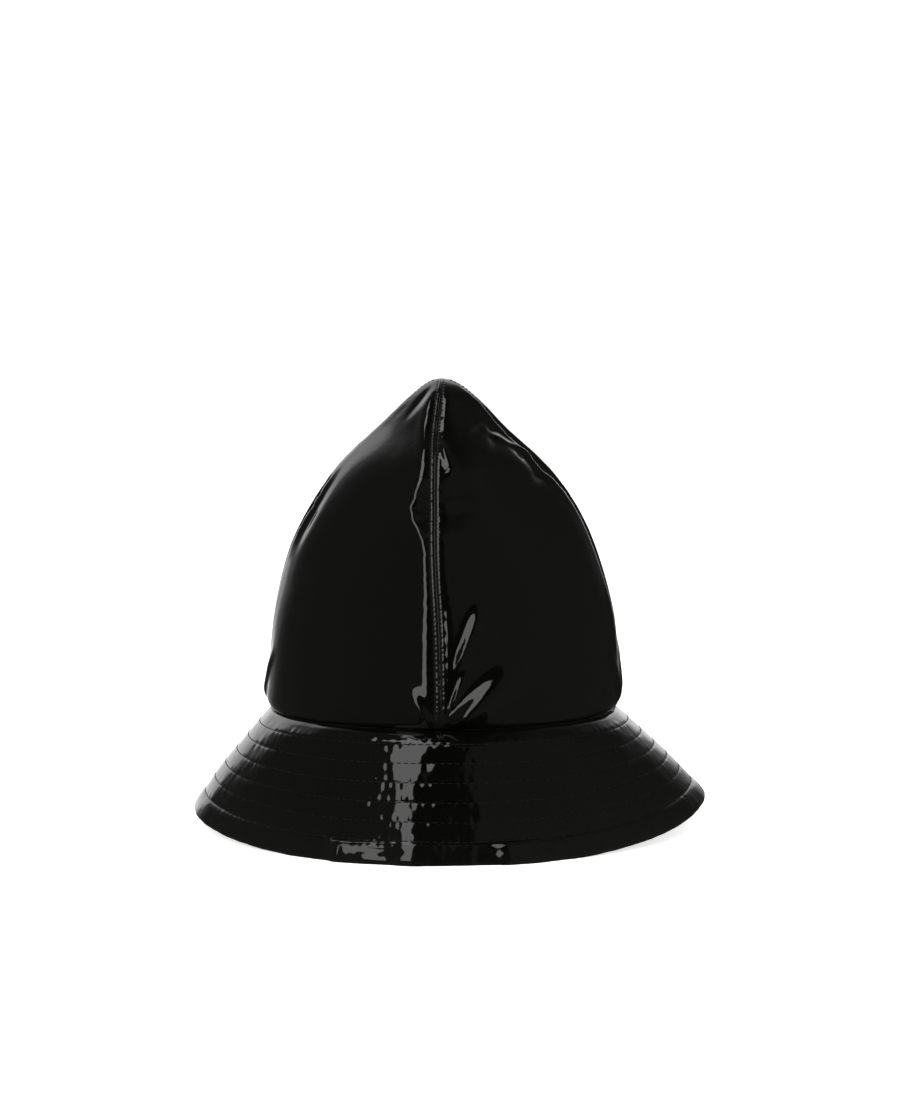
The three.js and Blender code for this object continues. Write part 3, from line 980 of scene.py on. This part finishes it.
def backing_group():
    """The knitted backing on the cloth's wrong side: courses of small loops, with painted shade in the
    hollows between them.
    """
    tree, given, made = node_group(
        "ShaderNodeTree",
        "knitted_backing",
        {
            "Cloth": ("NodeSocketVector", None),
            "Yarn": ("NodeSocketColor", None),
            "Loop": ("NodeSocketFloat", 1.1),
        },
        {"Color": "NodeSocketColor", "Height": "NodeSocketFloat"},
    )
    parts = add_node(tree, "ShaderNodeSeparateXYZ", Vector=given.outputs["Cloth"])
    rate = maths(tree, "DIVIDE", 2 * math.pi, given.outputs["Loop"])
    across = maths(tree, "SINE", maths(tree, "MULTIPLY", parts.outputs[0], rate))
    level = maths(tree, "MULTIPLY", parts.outputs[1], rate)
    along = maths(tree, "SINE", maths(tree, "ADD", level, maths(tree, "MULTIPLY", across, 1.4)))
    loops = maths(tree, "ADD", maths(tree, "MULTIPLY", across, 0.4), along)
    fuzz = add_node(tree, "ShaderNodeTexNoise", Vector=given.outputs["Cloth"], Scale=1.3, Detail=3.0)
    height = maths(tree, "ADD", loops, maths(tree, "MULTIPLY", fuzz.outputs[0], 1.5))
    # Painted shade: the yarn's colour is darkened where the knit's height is low, in the hollows between
    # loops and in the low fuzz, following the same height that drives the bump.
    shade = maths(tree, "ADD", 0.75, maths(tree, "MULTIPLY", height, 0.16))
    fill(tree, made, Color=blended(tree, "MULTIPLY", 1.0, given.outputs["Yarn"], shade), Height=height)
    return tree


def twist_group():
    """A twisted thread: fine diagonal plies, with painted shade along the grooves between them."""
    tree, given, made = node_group(
        "ShaderNodeTree",
        "twisted_thread",
        {
            "Run": ("NodeSocketVector", None),
            "Place": ("NodeSocketVector", None),
            "Dye": ("NodeSocketColor", None),
        },
        {"Color": "NodeSocketColor", "Height": "NodeSocketFloat"},
    )
    parts = add_node(tree, "ShaderNodeSeparateXYZ", Vector=given.outputs["Run"])
    along = maths(tree, "MULTIPLY", parts.outputs[0], 12.57)
    plies = maths(tree, "SINE", maths(tree, "ADD", along, maths(tree, "MULTIPLY", parts.outputs[1], 22.0)))
    dyed = add_node(tree, "ShaderNodeTexNoise", Vector=given.outputs["Place"], Scale=240.0, Detail=1.0)
    # The dye is darkened along the grooves between the plies, which is painted shade, and it also varies at
    # random along the thread, which is the dye's own uneven tone.
    shade = maths(tree, "ADD", maths(tree, "MULTIPLY", plies, 0.2), maths(tree, "ADD", dyed.outputs[0], 0.4))
    fill(tree, made, Color=blended(tree, "MULTIPLY", 1.0, given.outputs["Dye"], shade), Height=plies)
    return tree


def finish(name, build):
    """The material of that name, built once."""
    found = bpy.data.materials.get(name)
    if found:
        return found
    material = bpy.data.materials.new(name)
    material.use_nodes = True
    tree = material.node_tree
    build(tree, tree.nodes["Principled BSDF"])
    return material


def group_node(tree, name, build, **inputs):
    group = bpy.data.node_groups.get(name) or build()
    node = add_node(tree, "ShaderNodeGroup", {"node_tree": group}, **inputs)
    node.label = name.replace("_", " ").capitalize()
    return node


def bump(tree, height, distance):
    return add_node(tree, "ShaderNodeBump", Height=height, Distance=distance, Strength=1.0).outputs[0]


def patent_material(name, settings, peel, slack):
    def build(tree, shader):
        place = add_node(tree, "ShaderNodeTexCoord").outputs["Object"]
        scaled = add_node(tree, "ShaderNodeVectorMath", {"operation": "SCALE"}, in_0=place, Scale=1 / MM)
        worn = add_node(tree, "ShaderNodeAttribute", {"attribute_name": "worn"}).outputs["Fac"]
        film = group_node(
            tree, "patent_film", film_group, Cloth=scaled.outputs[0], Worn=worn,
            Film=tuple(settings.patent_colour), Gloss=settings.gloss, Peel=peel, Slack=slack,
        )
        fill(
            tree, shader, Base_Color=film.outputs["Color"], Roughness=film.outputs["Roughness"],
            Normal=bump(tree, film.outputs["Height"], MM), IOR=1.5,
        )

    return finish(name, build)


def backing_material(settings):
    def build(tree, shader):
        cloth = add_node(tree, "ShaderNodeUVMap", {"uv_map": "cloth"}).outputs[0]
        yarn = tuple(settings.backing_colour)
        knit = group_node(tree, "knitted_backing", backing_group, Cloth=cloth, Yarn=yarn)
        fill(
            tree, shader, Base_Color=knit.outputs["Color"],
            Normal=bump(tree, knit.outputs["Height"], 0.06 * MM),
            Roughness=0.86, Specular_IOR_Level=0.2, Sheen_Weight=0.08, Sheen_Roughness=0.5,
        )

    return finish("knitted_backing", build)


# The thread in each kind of row: glossier where it is drawn tight along the crown's seams.
THREADS = {
    "crown_topstitching": {"material": "tight_black_thread", "roughness": 0.26, "shine": 0.5},
    "brim_quilting": {"material": "soft_black_thread", "roughness": 0.6, "shine": 0.14},
}


def thread_material(settings, kind):
    def build(tree, shader):
        run = add_node(tree, "ShaderNodeAttribute", {"attribute_name": "twist"}).outputs["Vector"]
        place = add_node(tree, "ShaderNodeTexCoord").outputs["Object"]
        thread = group_node(
            tree, "twisted_thread", twist_group, Run=run, Place=place, Dye=tuple(settings.thread_colour)
        )
        fill(
            tree, shader, Base_Color=thread.outputs["Color"],
            Normal=bump(tree, thread.outputs["Height"], 0.03 * MM),
            Roughness=kind["roughness"], Specular_IOR_Level=kind["shine"],
        )

    return finish(kind["material"], build)


# What the stitches are made from, in metres and radians.
STITCH_INPUTS = {
    "Geometry": ("NodeSocketGeometry", None),
    "Pitch": ("NodeSocketFloat", 0.0035),
    "Length": ("NodeSocketFloat", 0.0026),
    "Thickness": ("NodeSocketFloat", 0.00042),
    "Turn": ("NodeSocketFloat", 0.06),
    "Seed": ("NodeSocketInt", 3),
    "Thread": ("NodeSocketMaterial", None),
}


def stitch_tree():
    """Stitches of one length along every row of edges, each lying a little differently."""
    found = bpy.data.node_groups.get("stitches_along_rows")
    if found:
        return found
    tree, given, made = node_group(
        "GeometryNodeTree", "stitches_along_rows", STITCH_INPUTS, {"Geometry": "NodeSocketGeometry"}
    )
    take = given.outputs
    rows = add_node(tree, "GeometryNodeMeshToCurve", Mesh=take["Geometry"]).outputs[0]
    marks = add_node(tree, "GeometryNodeCurveToPoints", {"mode": "LENGTH"}, Curve=rows, Length=take["Pitch"])
    ball = add_node(tree, "GeometryNodeMeshUVSphere", Segments=6, Rings=5, Radius=0.5)
    wrap = add_node(
        tree, "GeometryNodeStoreNamedAttribute", {"data_type": "FLOAT2", "domain": "CORNER"},
        Geometry=ball.outputs["Mesh"], Name="twist", Value=ball.outputs["UV Map"],
    )
    laid = add_node(tree, "GeometryNodeTransform", Geometry=wrap.outputs[0], Rotation=(0, math.pi / 2, 0))
    tangent = marks.outputs["Tangent"]
    along = add_node(tree, "FunctionNodeAlignRotationToVector", {"axis": "X"}, Vector=tangent)
    random = add_node(
        tree, "FunctionNodeRandomValue", {"data_type": "FLOAT"},
        Seed=take["Seed"], in_2=maths(tree, "MULTIPLY", take["Turn"], -1.0), in_3=take["Turn"],
    )
    sway = add_node(tree, "FunctionNodeAxisAngleToRotation", Axis=(0, 0, 1), Angle=random.outputs[1])
    turned = add_node(
        tree, "FunctionNodeRotateRotation", {"rotation_space": "LOCAL"},
        Rotation=along.outputs[0], Rotate_By=sway.outputs[0],
    )
    size = add_node(tree, "ShaderNodeCombineXYZ", X=take["Length"], Y=take["Thickness"], Z=take["Thickness"])
    sewn = add_node(
        tree, "GeometryNodeInstanceOnPoints", Points=marks.outputs["Points"], Instance=laid.outputs[0],
        Rotation=turned.outputs[0], Scale=size.outputs[0],
    )
    real = add_node(tree, "GeometryNodeRealizeInstances", Geometry=sewn.outputs[0])
    dyed = add_node(tree, "GeometryNodeSetMaterial", Geometry=real.outputs[0], Material=take["Thread"])
    fill(tree, made, in_0=dyed.outputs[0])
    return tree


def stitched(name, rows, pitch, thickness, settings):
    """Stitches along rows of points, turned into a plain mesh."""
    points, edges = [], []
    for row, closed in rows:
        start = sum(len(p) for p in points)
        points.append(row)
        edges += [(start + i, start + i + 1) for i in range(len(row) - 1)]
        if closed:
            edges.append((start + len(row) - 1, start))
    mesh = bpy.data.meshes.new(name + "_rows")
    mesh.from_pydata(np.vstack(points).tolist(), edges, [])
    marked = bpy.data.objects.new(name + "_rows", mesh)
    tree = stitch_tree()
    sewing = marked.modifiers.new("stitches", "NODES")
    sewing.node_group = tree
    values = {
        "Pitch": pitch * MM,
        "Length": pitch * settings.stitch_share * MM,
        "Thickness": thickness * MM,
        "Thread": thread_material(settings, THREADS[name]),
    }
    for item in tree.interface.items_tree:
        if item.in_out == "INPUT" and item.name in values:
            sewing[item.identifier] = values[item.name]
    bpy.context.scene.collection.objects.link(marked)
    sewn = bpy.data.meshes.new_from_object(marked.evaluated_get(bpy.context.evaluated_depsgraph_get()))
    bpy.data.objects.remove(marked)
    sewn.name = name
    sewn.polygons.foreach_set("use_smooth", [True] * len(sewn.polygons))
    piece = bpy.data.objects.new(name, sewn)
    bpy.context.scene.collection.objects.link(piece)
    if not sewn.polygons:
        raise RuntimeError(f"{name} has no stitches")
    return piece


def crown_stitch_rows(settings):
    """Two rows beside each of the crown's seams, from the foot almost to the point."""
    ups = np.linspace(*CROWN_ROW_ENDS, 420)
    width = math.radians(QUARTER) * crown_outline(ups)[0][:, 0]
    rows = []
    for seam in range(4):
        for panel, side in ((seam - 1, -1), (seam, 1)):
            off = settings.row_offset / width
            share = off if side > 0 else 1 - off
            row = crown_points(panel % 4, share, ups, -THREAD_STANDS * settings.thread, settings)
            rows.append((row, False))
    return rows


def brim_stitch_rows(settings):
    """A closed row between each two bands, above and below."""
    angle = np.linspace(0, FULL_TURN, 721)[:-1]
    rows = []
    for row in range(1, settings.bands):
        down = row / settings.bands
        for place in (down, 3 - down):
            ring = np.full(len(angle), place)
            share, facing, stand = brim_place(angle, ring, settings)
            stand = stand + THREAD_STANDS * settings.thread
            rows.append((brim_points(angle, share, facing, stand, settings), True))
    return rows


class HatSettings(bpy.types.PropertyGroup):
    """Sizes, colours and light that a user of the hat would change."""

    cloth: bpy.props.FloatProperty(
        name="Cloth", description="Thickness of the crown's cloth with its backing",
        default=0.0016, min=0.001, max=0.003, subtype="DISTANCE", unit="LENGTH",
    )
    brim_width: bpy.props.FloatProperty(
        name="Brim width", description="From the crown's seam to the brim's edge, down the slope",
        default=0.066, min=0.03, max=0.09, subtype="DISTANCE", unit="LENGTH",
    )
    layers: bpy.props.FloatProperty(
        name="Brim thickness", description="Both layers of the brim where stitches hold them",
        default=0.0026, min=0.001, max=0.006, subtype="DISTANCE", unit="LENGTH",
    )
    edge_radius: bpy.props.FloatProperty(
        name="Edge radius", description="Roundness of the brim's turned edge",
        default=0.0017, min=0.001, max=0.004, subtype="DISTANCE", unit="LENGTH",
    )
    edge_pressed: bpy.props.FloatProperty(
        name="Edge pressed", description="How far the edge gives where the hat rests on it",
        default=0.00025, min=0, max=0.001, subtype="DISTANCE", unit="LENGTH",
    )
    puff: bpy.props.FloatProperty(
        name="Puff", description="How far the quilted bands stand over their stitches",
        default=0.0002, min=0, max=0.003, subtype="DISTANCE", unit="LENGTH",
    )
    band_slack: bpy.props.FloatProperty(
        name="Band slack", description="Height of the slow waves along each quilted band",
        default=0.0001, min=0, max=0.002, subtype="DISTANCE", unit="LENGTH",
    )
    streak: bpy.props.FloatProperty(
        name="Streaks", description="Height of the faint ridges that run across the brim's bands",
        default=0.000012, min=0, max=0.001, subtype="DISTANCE", unit="LENGTH",
    )
    streak_size: bpy.props.FloatProperty(
        name="Streak size", description="Distance from one faint ridge of the brim to the next",
        default=0.008, min=0.002, max=0.05, subtype="DISTANCE", unit="LENGTH",
    )
    slack: bpy.props.FloatProperty(
        name="Slack", description="Height of the slow waves in the crown's cloth",
        default=0.0002, min=0, max=0.003, subtype="DISTANCE", unit="LENGTH",
    )
    roll_width: bpy.props.FloatProperty(
        name="Roll width", description="How far a raised crest beside a crown seam fades into its panel",
        default=0.005, min=0.001, max=0.03, subtype="DISTANCE", unit="LENGTH",
    )
    dent_width: bpy.props.FloatProperty(
        name="Dent width", description="How far a lowered crest beside a crown seam fades into its panel",
        default=0.014, min=0.001, max=0.04, subtype="DISTANCE", unit="LENGTH",
    )
    crest_waver: bpy.props.FloatProperty(
        name="Crest waver", description="How unevenly the crests beside the crown's seams run",
        default=0.03, min=0, max=0.5, subtype="FACTOR",
    )
    edge_puff: bpy.props.FloatProperty(
        name="Edge puff", description="How much fuller the last band is, where the edge is turned",
        default=0.0008, min=0, max=0.003, subtype="DISTANCE", unit="LENGTH",
    )
    row_depth: bpy.props.FloatProperty(
        name="Row depth", description="How deep the stitches sink into the brim",
        default=0.0002, min=0, max=0.001, subtype="DISTANCE", unit="LENGTH",
    )
    pucker: bpy.props.FloatProperty(
        name="Pucker", description="Height of the small ripples that the stitches pull up",
        default=0.00009, min=0, max=0.001, subtype="DISTANCE", unit="LENGTH",
    )
    seam_turn: bpy.props.FloatProperty(
        name="Seam turn", description="How far from a crown seam the cloth starts to turn under",
        default=0.0004, min=0.0003, max=0.003, subtype="DISTANCE", unit="LENGTH",
    )
    row_offset: bpy.props.FloatProperty(
        name="Topstitching", description="Distance of the topstitching from a crown seam",
        default=0.0016, min=0.001, max=0.006, subtype="DISTANCE", unit="LENGTH",
    )
    crown_pitch: bpy.props.FloatProperty(
        name="Crown stitch", description="Stitch pitch of the crown's topstitching",
        default=0.0023, min=0.001, max=0.006, subtype="DISTANCE", unit="LENGTH",
    )
    brim_pitch: bpy.props.FloatProperty(
        name="Brim stitch", description="Stitch pitch of the brim's quilting",
        default=0.0035, min=0.001, max=0.008, subtype="DISTANCE", unit="LENGTH",
    )
    thread: bpy.props.FloatProperty(
        name="Thread", description="Thickness of the sewing thread",
        default=0.0005, min=0.0001, max=0.001, subtype="DISTANCE", unit="LENGTH",
    )
    stitch_share: bpy.props.FloatProperty(
        name="Stitch share", description="Share of the pitch that one stitch covers",
        default=0.78, min=0.3, max=1, subtype="FACTOR",
    )
    bands: bpy.props.IntProperty(
        name="Bands", description="Quilted bands of the brim", default=7, min=2, max=12
    )
    crown_rows: bpy.props.IntProperty(
        name="Crown rows", description="Rows of faces from the crown's foot to its point",
        default=330, min=40, max=400,
    )
    brim_spokes: bpy.props.IntProperty(
        name="Brim spokes", description="Faces round the brim", default=720, min=72, max=900
    )
    patent_colour: bpy.props.FloatVectorProperty(
        name="Patent", description="Colour of the patent film",
        default=(0.0014, 0.0014, 0.0012, 1), size=4, min=0, max=1, subtype="COLOR",
    )
    backing_colour: bpy.props.FloatVectorProperty(
        name="Backing", description="Colour of the cloth's wrong side",
        default=(0.012, 0.012, 0.013, 1), size=4, min=0, max=1, subtype="COLOR",
    )
    thread_colour: bpy.props.FloatVectorProperty(
        name="Thread colour", description="Colour of the sewing thread",
        default=(0.007, 0.007, 0.0066, 1), size=4, min=0, max=1, subtype="COLOR",
    )
    gloss: bpy.props.FloatProperty(
        name="Film roughness", description="Roughness of the patent film where it is clean",
        default=0.05, min=0, max=1, subtype="FACTOR",
    )
    softbox_watts: bpy.props.FloatProperty(
        name="Softbox", description="Power of the large softbox before the hat, to its left",
        default=15.5, min=0, max=500, subtype="POWER", unit="POWER",
    )
    top_watts: bpy.props.FloatProperty(
        name="Top light", description="Power of the strip light above the hat, to its left",
        default=2.5, min=0, max=500, subtype="POWER", unit="POWER",
    )


class Measures:
    """The settings with every length in millimetres, as the tables are."""

    def __init__(self, context):
        given = context.scene.fishing_hat
        for name in HatSettings.__annotations__:
            value = getattr(given, name)
            is_length = given.bl_rna.properties[name].unit == "LENGTH"
            setattr(self, name, value / MM if is_length else value)


class HAT_OT_crown(bpy.types.Operator):
    """Cut and shape the crown's four panels"""

    bl_idname = "hat.crown"
    bl_label = "Crown panels"

    def execute(self, context):
        settings = Measures(context)
        for panel, node in enumerate(PANELS):
            piece = crown_panel_piece(panel, settings)
            piece.data.materials.append(patent_material("crown_film", settings, 0.004, 0.12))
            piece.data.materials.append(backing_material(settings))
            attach(piece, "root")
            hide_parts(node)
        return {"FINISHED"}


class HAT_OT_brim(bpy.types.Operator):
    """Quilt the brim and turn its edge"""

    bl_idname = "hat.brim"
    bl_label = "Quilted brim"

    def execute(self, context):
        settings = Measures(context)
        piece = quilted_brim_piece(settings)
        piece.data.materials.append(patent_material("brim_film", settings, 0.006, 0.1))
        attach(piece, "root")
        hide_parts("brim")
        return {"FINISHED"}


class HAT_OT_topstitching(bpy.types.Operator):
    """Sew the rows beside the crown's seams"""

    bl_idname = "hat.topstitching"
    bl_label = "Crown topstitching"

    def execute(self, context):
        settings = Measures(context)
        rows = crown_stitch_rows(settings)
        piece = stitched("crown_topstitching", rows, settings.crown_pitch, settings.thread, settings)
        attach(piece, "root")
        return {"FINISHED"}


class HAT_OT_quilting(bpy.types.Operator):
    """Sew the rows that quilt the brim"""

    bl_idname = "hat.quilting"
    bl_label = "Brim quilting"

    def execute(self, context):
        settings = Measures(context)
        rows = brim_stitch_rows(settings)
        piece = stitched("brim_quilting", rows, settings.brim_pitch, settings.thread, settings)
        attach(piece, "root")
        return {"FINISHED"}


# The camera: where it stands in metres, how far it looks down, and its lens.
CAMERA_PLACE = (0, -1.2, 0.2125)
CAMERA_DOWN = 3.4
CAMERA_LENS = 76.42

# Lights round the hat: azimuth from the front towards the right, height in degrees, distance, size.
SOFTBOX = {"azimuth": -24, "elevation": 38, "away": 2.0, "wide": 0.74, "tall": 2.84}
TOP_LIGHT = {"azimuth": -72, "elevation": 76, "away": 1.8, "wide": 0.72, "tall": 0.44}
AIMED_AT = (0, 0, 0.1)


def area_light(name, place, watts):
    light = bpy.data.lights.new(name, "AREA")
    light.shape = "RECTANGLE"
    light.size = place["wide"]
    light.size_y = place["tall"]
    light.energy = watts
    lamp = bpy.data.objects.new(name, light)
    turn, rise = math.radians(place["azimuth"]), math.radians(place["elevation"])
    level = place["away"] * math.cos(rise)
    lamp.location = (
        AIMED_AT[0] + level * math.sin(turn),
        AIMED_AT[1] - level * math.cos(turn),
        AIMED_AT[2] + place["away"] * math.sin(rise),
    )
    lamp.rotation_euler = (math.radians(QUARTER) - rise, 0, turn)
    bpy.context.scene.collection.objects.link(lamp)


def floor_material():
    def build(tree, shader):
        place = add_node(tree, "ShaderNodeTexCoord").outputs["Object"]
        grain = add_node(tree, "ShaderNodeTexNoise", Vector=place, Scale=6.0, Detail=2.0)
        tone = add_node(tree, "ShaderNodeMapRange", Value=grain.outputs[0], To_Min=0.9, To_Max=0.94)
        fill(
            tree, shader, Base_Color=tone.outputs[0], Roughness=0.9, Specular_IOR_Level=0.1,
            Emission_Color=(1, 1, 1, 1), Emission_Strength=0.7,
        )

    return finish("pale_floor", build)


# The pale backdrop's glow as the film mirrors it: angle from its middle, and brightness there. All
# else sees a plain white room.
BACKDROP_DIRECTION = (-0.12, 0.899, 0.421)
BACKDROP_STRENGTH = 1.2
PLAIN_STRENGTH = 1.1
BACKDROP_GLOW = table(
    "angle glow",
    (0, 1.0), (31, 1.0), (35, 0.3), (42, 0.08), (60, 0.01), (90, 0.0),
)

# The dim room round the hat as the film mirrors it, from the front towards the right. Overhead it fades
# out between two heights in degrees.
ROOM_GLOW = table(
    "azimuth glow",
    (-180, 0.03), (-120, 0.06), (-90, 0.082), (-12, 0.082), (-11, 0.0), (16, 0.0), (19, 0.105),
    (80, 0.11), (105, 0.08), (130, 0.045), (180, 0.025),
)
ROOM_FADES = (58, 80)
ROOM_TINT = (0.808, 0.833, 0.733)


def glow_ramp(tree, place, rows, column, low, high):
    """A ramp through a table's glows, read at a place from 0 to 1."""
    ramp = add_node(tree, "ShaderNodeValToRGB", Fac=place)
    stops = ramp.color_ramp.elements
    while len(stops) < len(rows):
        stops.new(0.5)
    for stop, row in zip(stops, rows):
        stop.position = (row[column] - low) / (high - low)
        stop.color = (row["glow"], row["glow"], row["glow"], 1)
    return ramp.outputs[0]


def studio_world():
    world = bpy.data.worlds.new("studio")
    world.use_nodes = True
    tree = world.node_tree
    tree.nodes.clear()
    toward = add_node(tree, "ShaderNodeTexCoord").outputs["Generated"]
    unit = add_node(tree, "ShaderNodeVectorMath", {"operation": "NORMALIZE"}, in_0=toward).outputs[0]
    facing = add_node(
        tree, "ShaderNodeVectorMath", {"operation": "DOT_PRODUCT"}, in_0=unit, in_1=BACKDROP_DIRECTION
    )
    angle = maths(tree, "ARCCOSINE", facing.outputs["Value"])
    place = maths(tree, "DIVIDE", angle, math.pi)
    backdrop = glow_ramp(tree, place, BACKDROP_GLOW, "angle", 0, FULL_TURN / 2)
    parts = add_node(tree, "ShaderNodeSeparateXYZ", Vector=unit)
    ahead = maths(tree, "MULTIPLY", parts.outputs[1], -1.0)
    azimuth = maths(tree, "ARCTAN2", parts.outputs[0], ahead)
    turned = add_node(
        tree, "ShaderNodeMapRange", Value=azimuth, From_Min=-math.pi, From_Max=math.pi, To_Min=0.0, To_Max=1.0
    )
    around = glow_ramp(tree, turned.outputs[0], ROOM_GLOW, "azimuth", -FULL_TURN / 2, FULL_TURN / 2)
    overhead = add_node(
        tree, "ShaderNodeMapRange", {"interpolation_type": "SMOOTHSTEP"}, Value=parts.outputs[2],
        From_Min=math.sin(math.radians(ROOM_FADES[0])), From_Max=math.sin(math.radians(ROOM_FADES[1])),
        To_Min=1.0, To_Max=0.0,
    )
    tinted = add_node(
        tree, "ShaderNodeVectorMath", {"operation": "SCALE"}, in_0=ROOM_TINT, Scale=overhead.outputs[0]
    )
    room = blended(tree, "MULTIPLY", 1.0, around, tinted.outputs[0])
    seen = blended(tree, "LIGHTEN", 1.0, backdrop, room)
    glossy = add_node(tree, "ShaderNodeLightPath").outputs["Is Glossy Ray"]
    plain = add_node(tree, "ShaderNodeBackground", Color=(1, 1, 1, 1), Strength=PLAIN_STRENGTH)
    mirrored = add_node(tree, "ShaderNodeBackground", Color=seen, Strength=BACKDROP_STRENGTH)
    mixed = add_node(
        tree, "ShaderNodeMixShader", in_0=glossy, in_1=plain.outputs[0], in_2=mirrored.outputs[0]
    )
    add_node(tree, "ShaderNodeOutputWorld", Surface=mixed.outputs[0])
    return world


class HAT_OT_studio(bpy.types.Operator):
    """Set the floor, the lights, the backdrop and the camera"""

    bl_idname = "hat.studio"
    bl_label = "Studio"

    def execute(self, context):
        settings = Measures(context)
        reach = 6.0
        corners = [(-reach, -reach, 0), (reach, -reach, 0), (reach, reach, 0), (-reach, reach, 0)]
        floor = make_object("studio_floor", corners, [(0, 1, 2, 3)])
        floor.data.materials.append(floor_material())
        floor.visible_glossy = False
        area_light("softbox", SOFTBOX, settings.softbox_watts)
        area_light("top_light", TOP_LIGHT, settings.top_watts)
        context.scene.world = studio_world()
        camera = bpy.data.objects.new("camera", bpy.data.cameras.new("camera"))
        camera.data.lens = CAMERA_LENS
        camera.data.clip_end = 50
        camera.location = CAMERA_PLACE
        camera.rotation_euler = (math.radians(QUARTER - CAMERA_DOWN), 0, 0)
        context.scene.collection.objects.link(camera)
        context.scene.camera = camera
        context.scene.view_settings.view_transform = "Standard"
        context.scene.view_settings.look = "None"
        return {"FINISHED"}


class HAT_PT_sidebar(bpy.types.Panel):
    """The hat's settings and its pieces"""

    bl_idname = "HAT_PT_sidebar"
    bl_label = "Fishing Hat"
    bl_space_type = "VIEW_3D"
    bl_region_type = "UI"
    bl_category = "Hat"

    def draw(self, context):
        for name in HatSettings.__annotations__:
            self.layout.prop(context.scene.fishing_hat, name)
        for step in STEPS:
            self.layout.operator(step.bl_idname)


STEPS = (HAT_OT_crown, HAT_OT_brim, HAT_OT_topstitching, HAT_OT_quilting, HAT_OT_studio)
CLASSES = (HatSettings, *STEPS, HAT_PT_sidebar)


def register():
    for made in CLASSES:
        bpy.utils.register_class(made)
    bpy.types.Scene.fishing_hat = bpy.props.PointerProperty(type=HatSettings)


def unregister():
    del bpy.types.Scene.fishing_hat
    for made in reversed(CLASSES):
        bpy.utils.unregister_class(made)


def main():
    register()
    bpy.ops.hat.crown()
    bpy.ops.hat.brim()
    bpy.ops.hat.topstitching()
    bpy.ops.hat.quilting()
    bpy.ops.hat.studio()


if __name__ == "__main__":
    main()
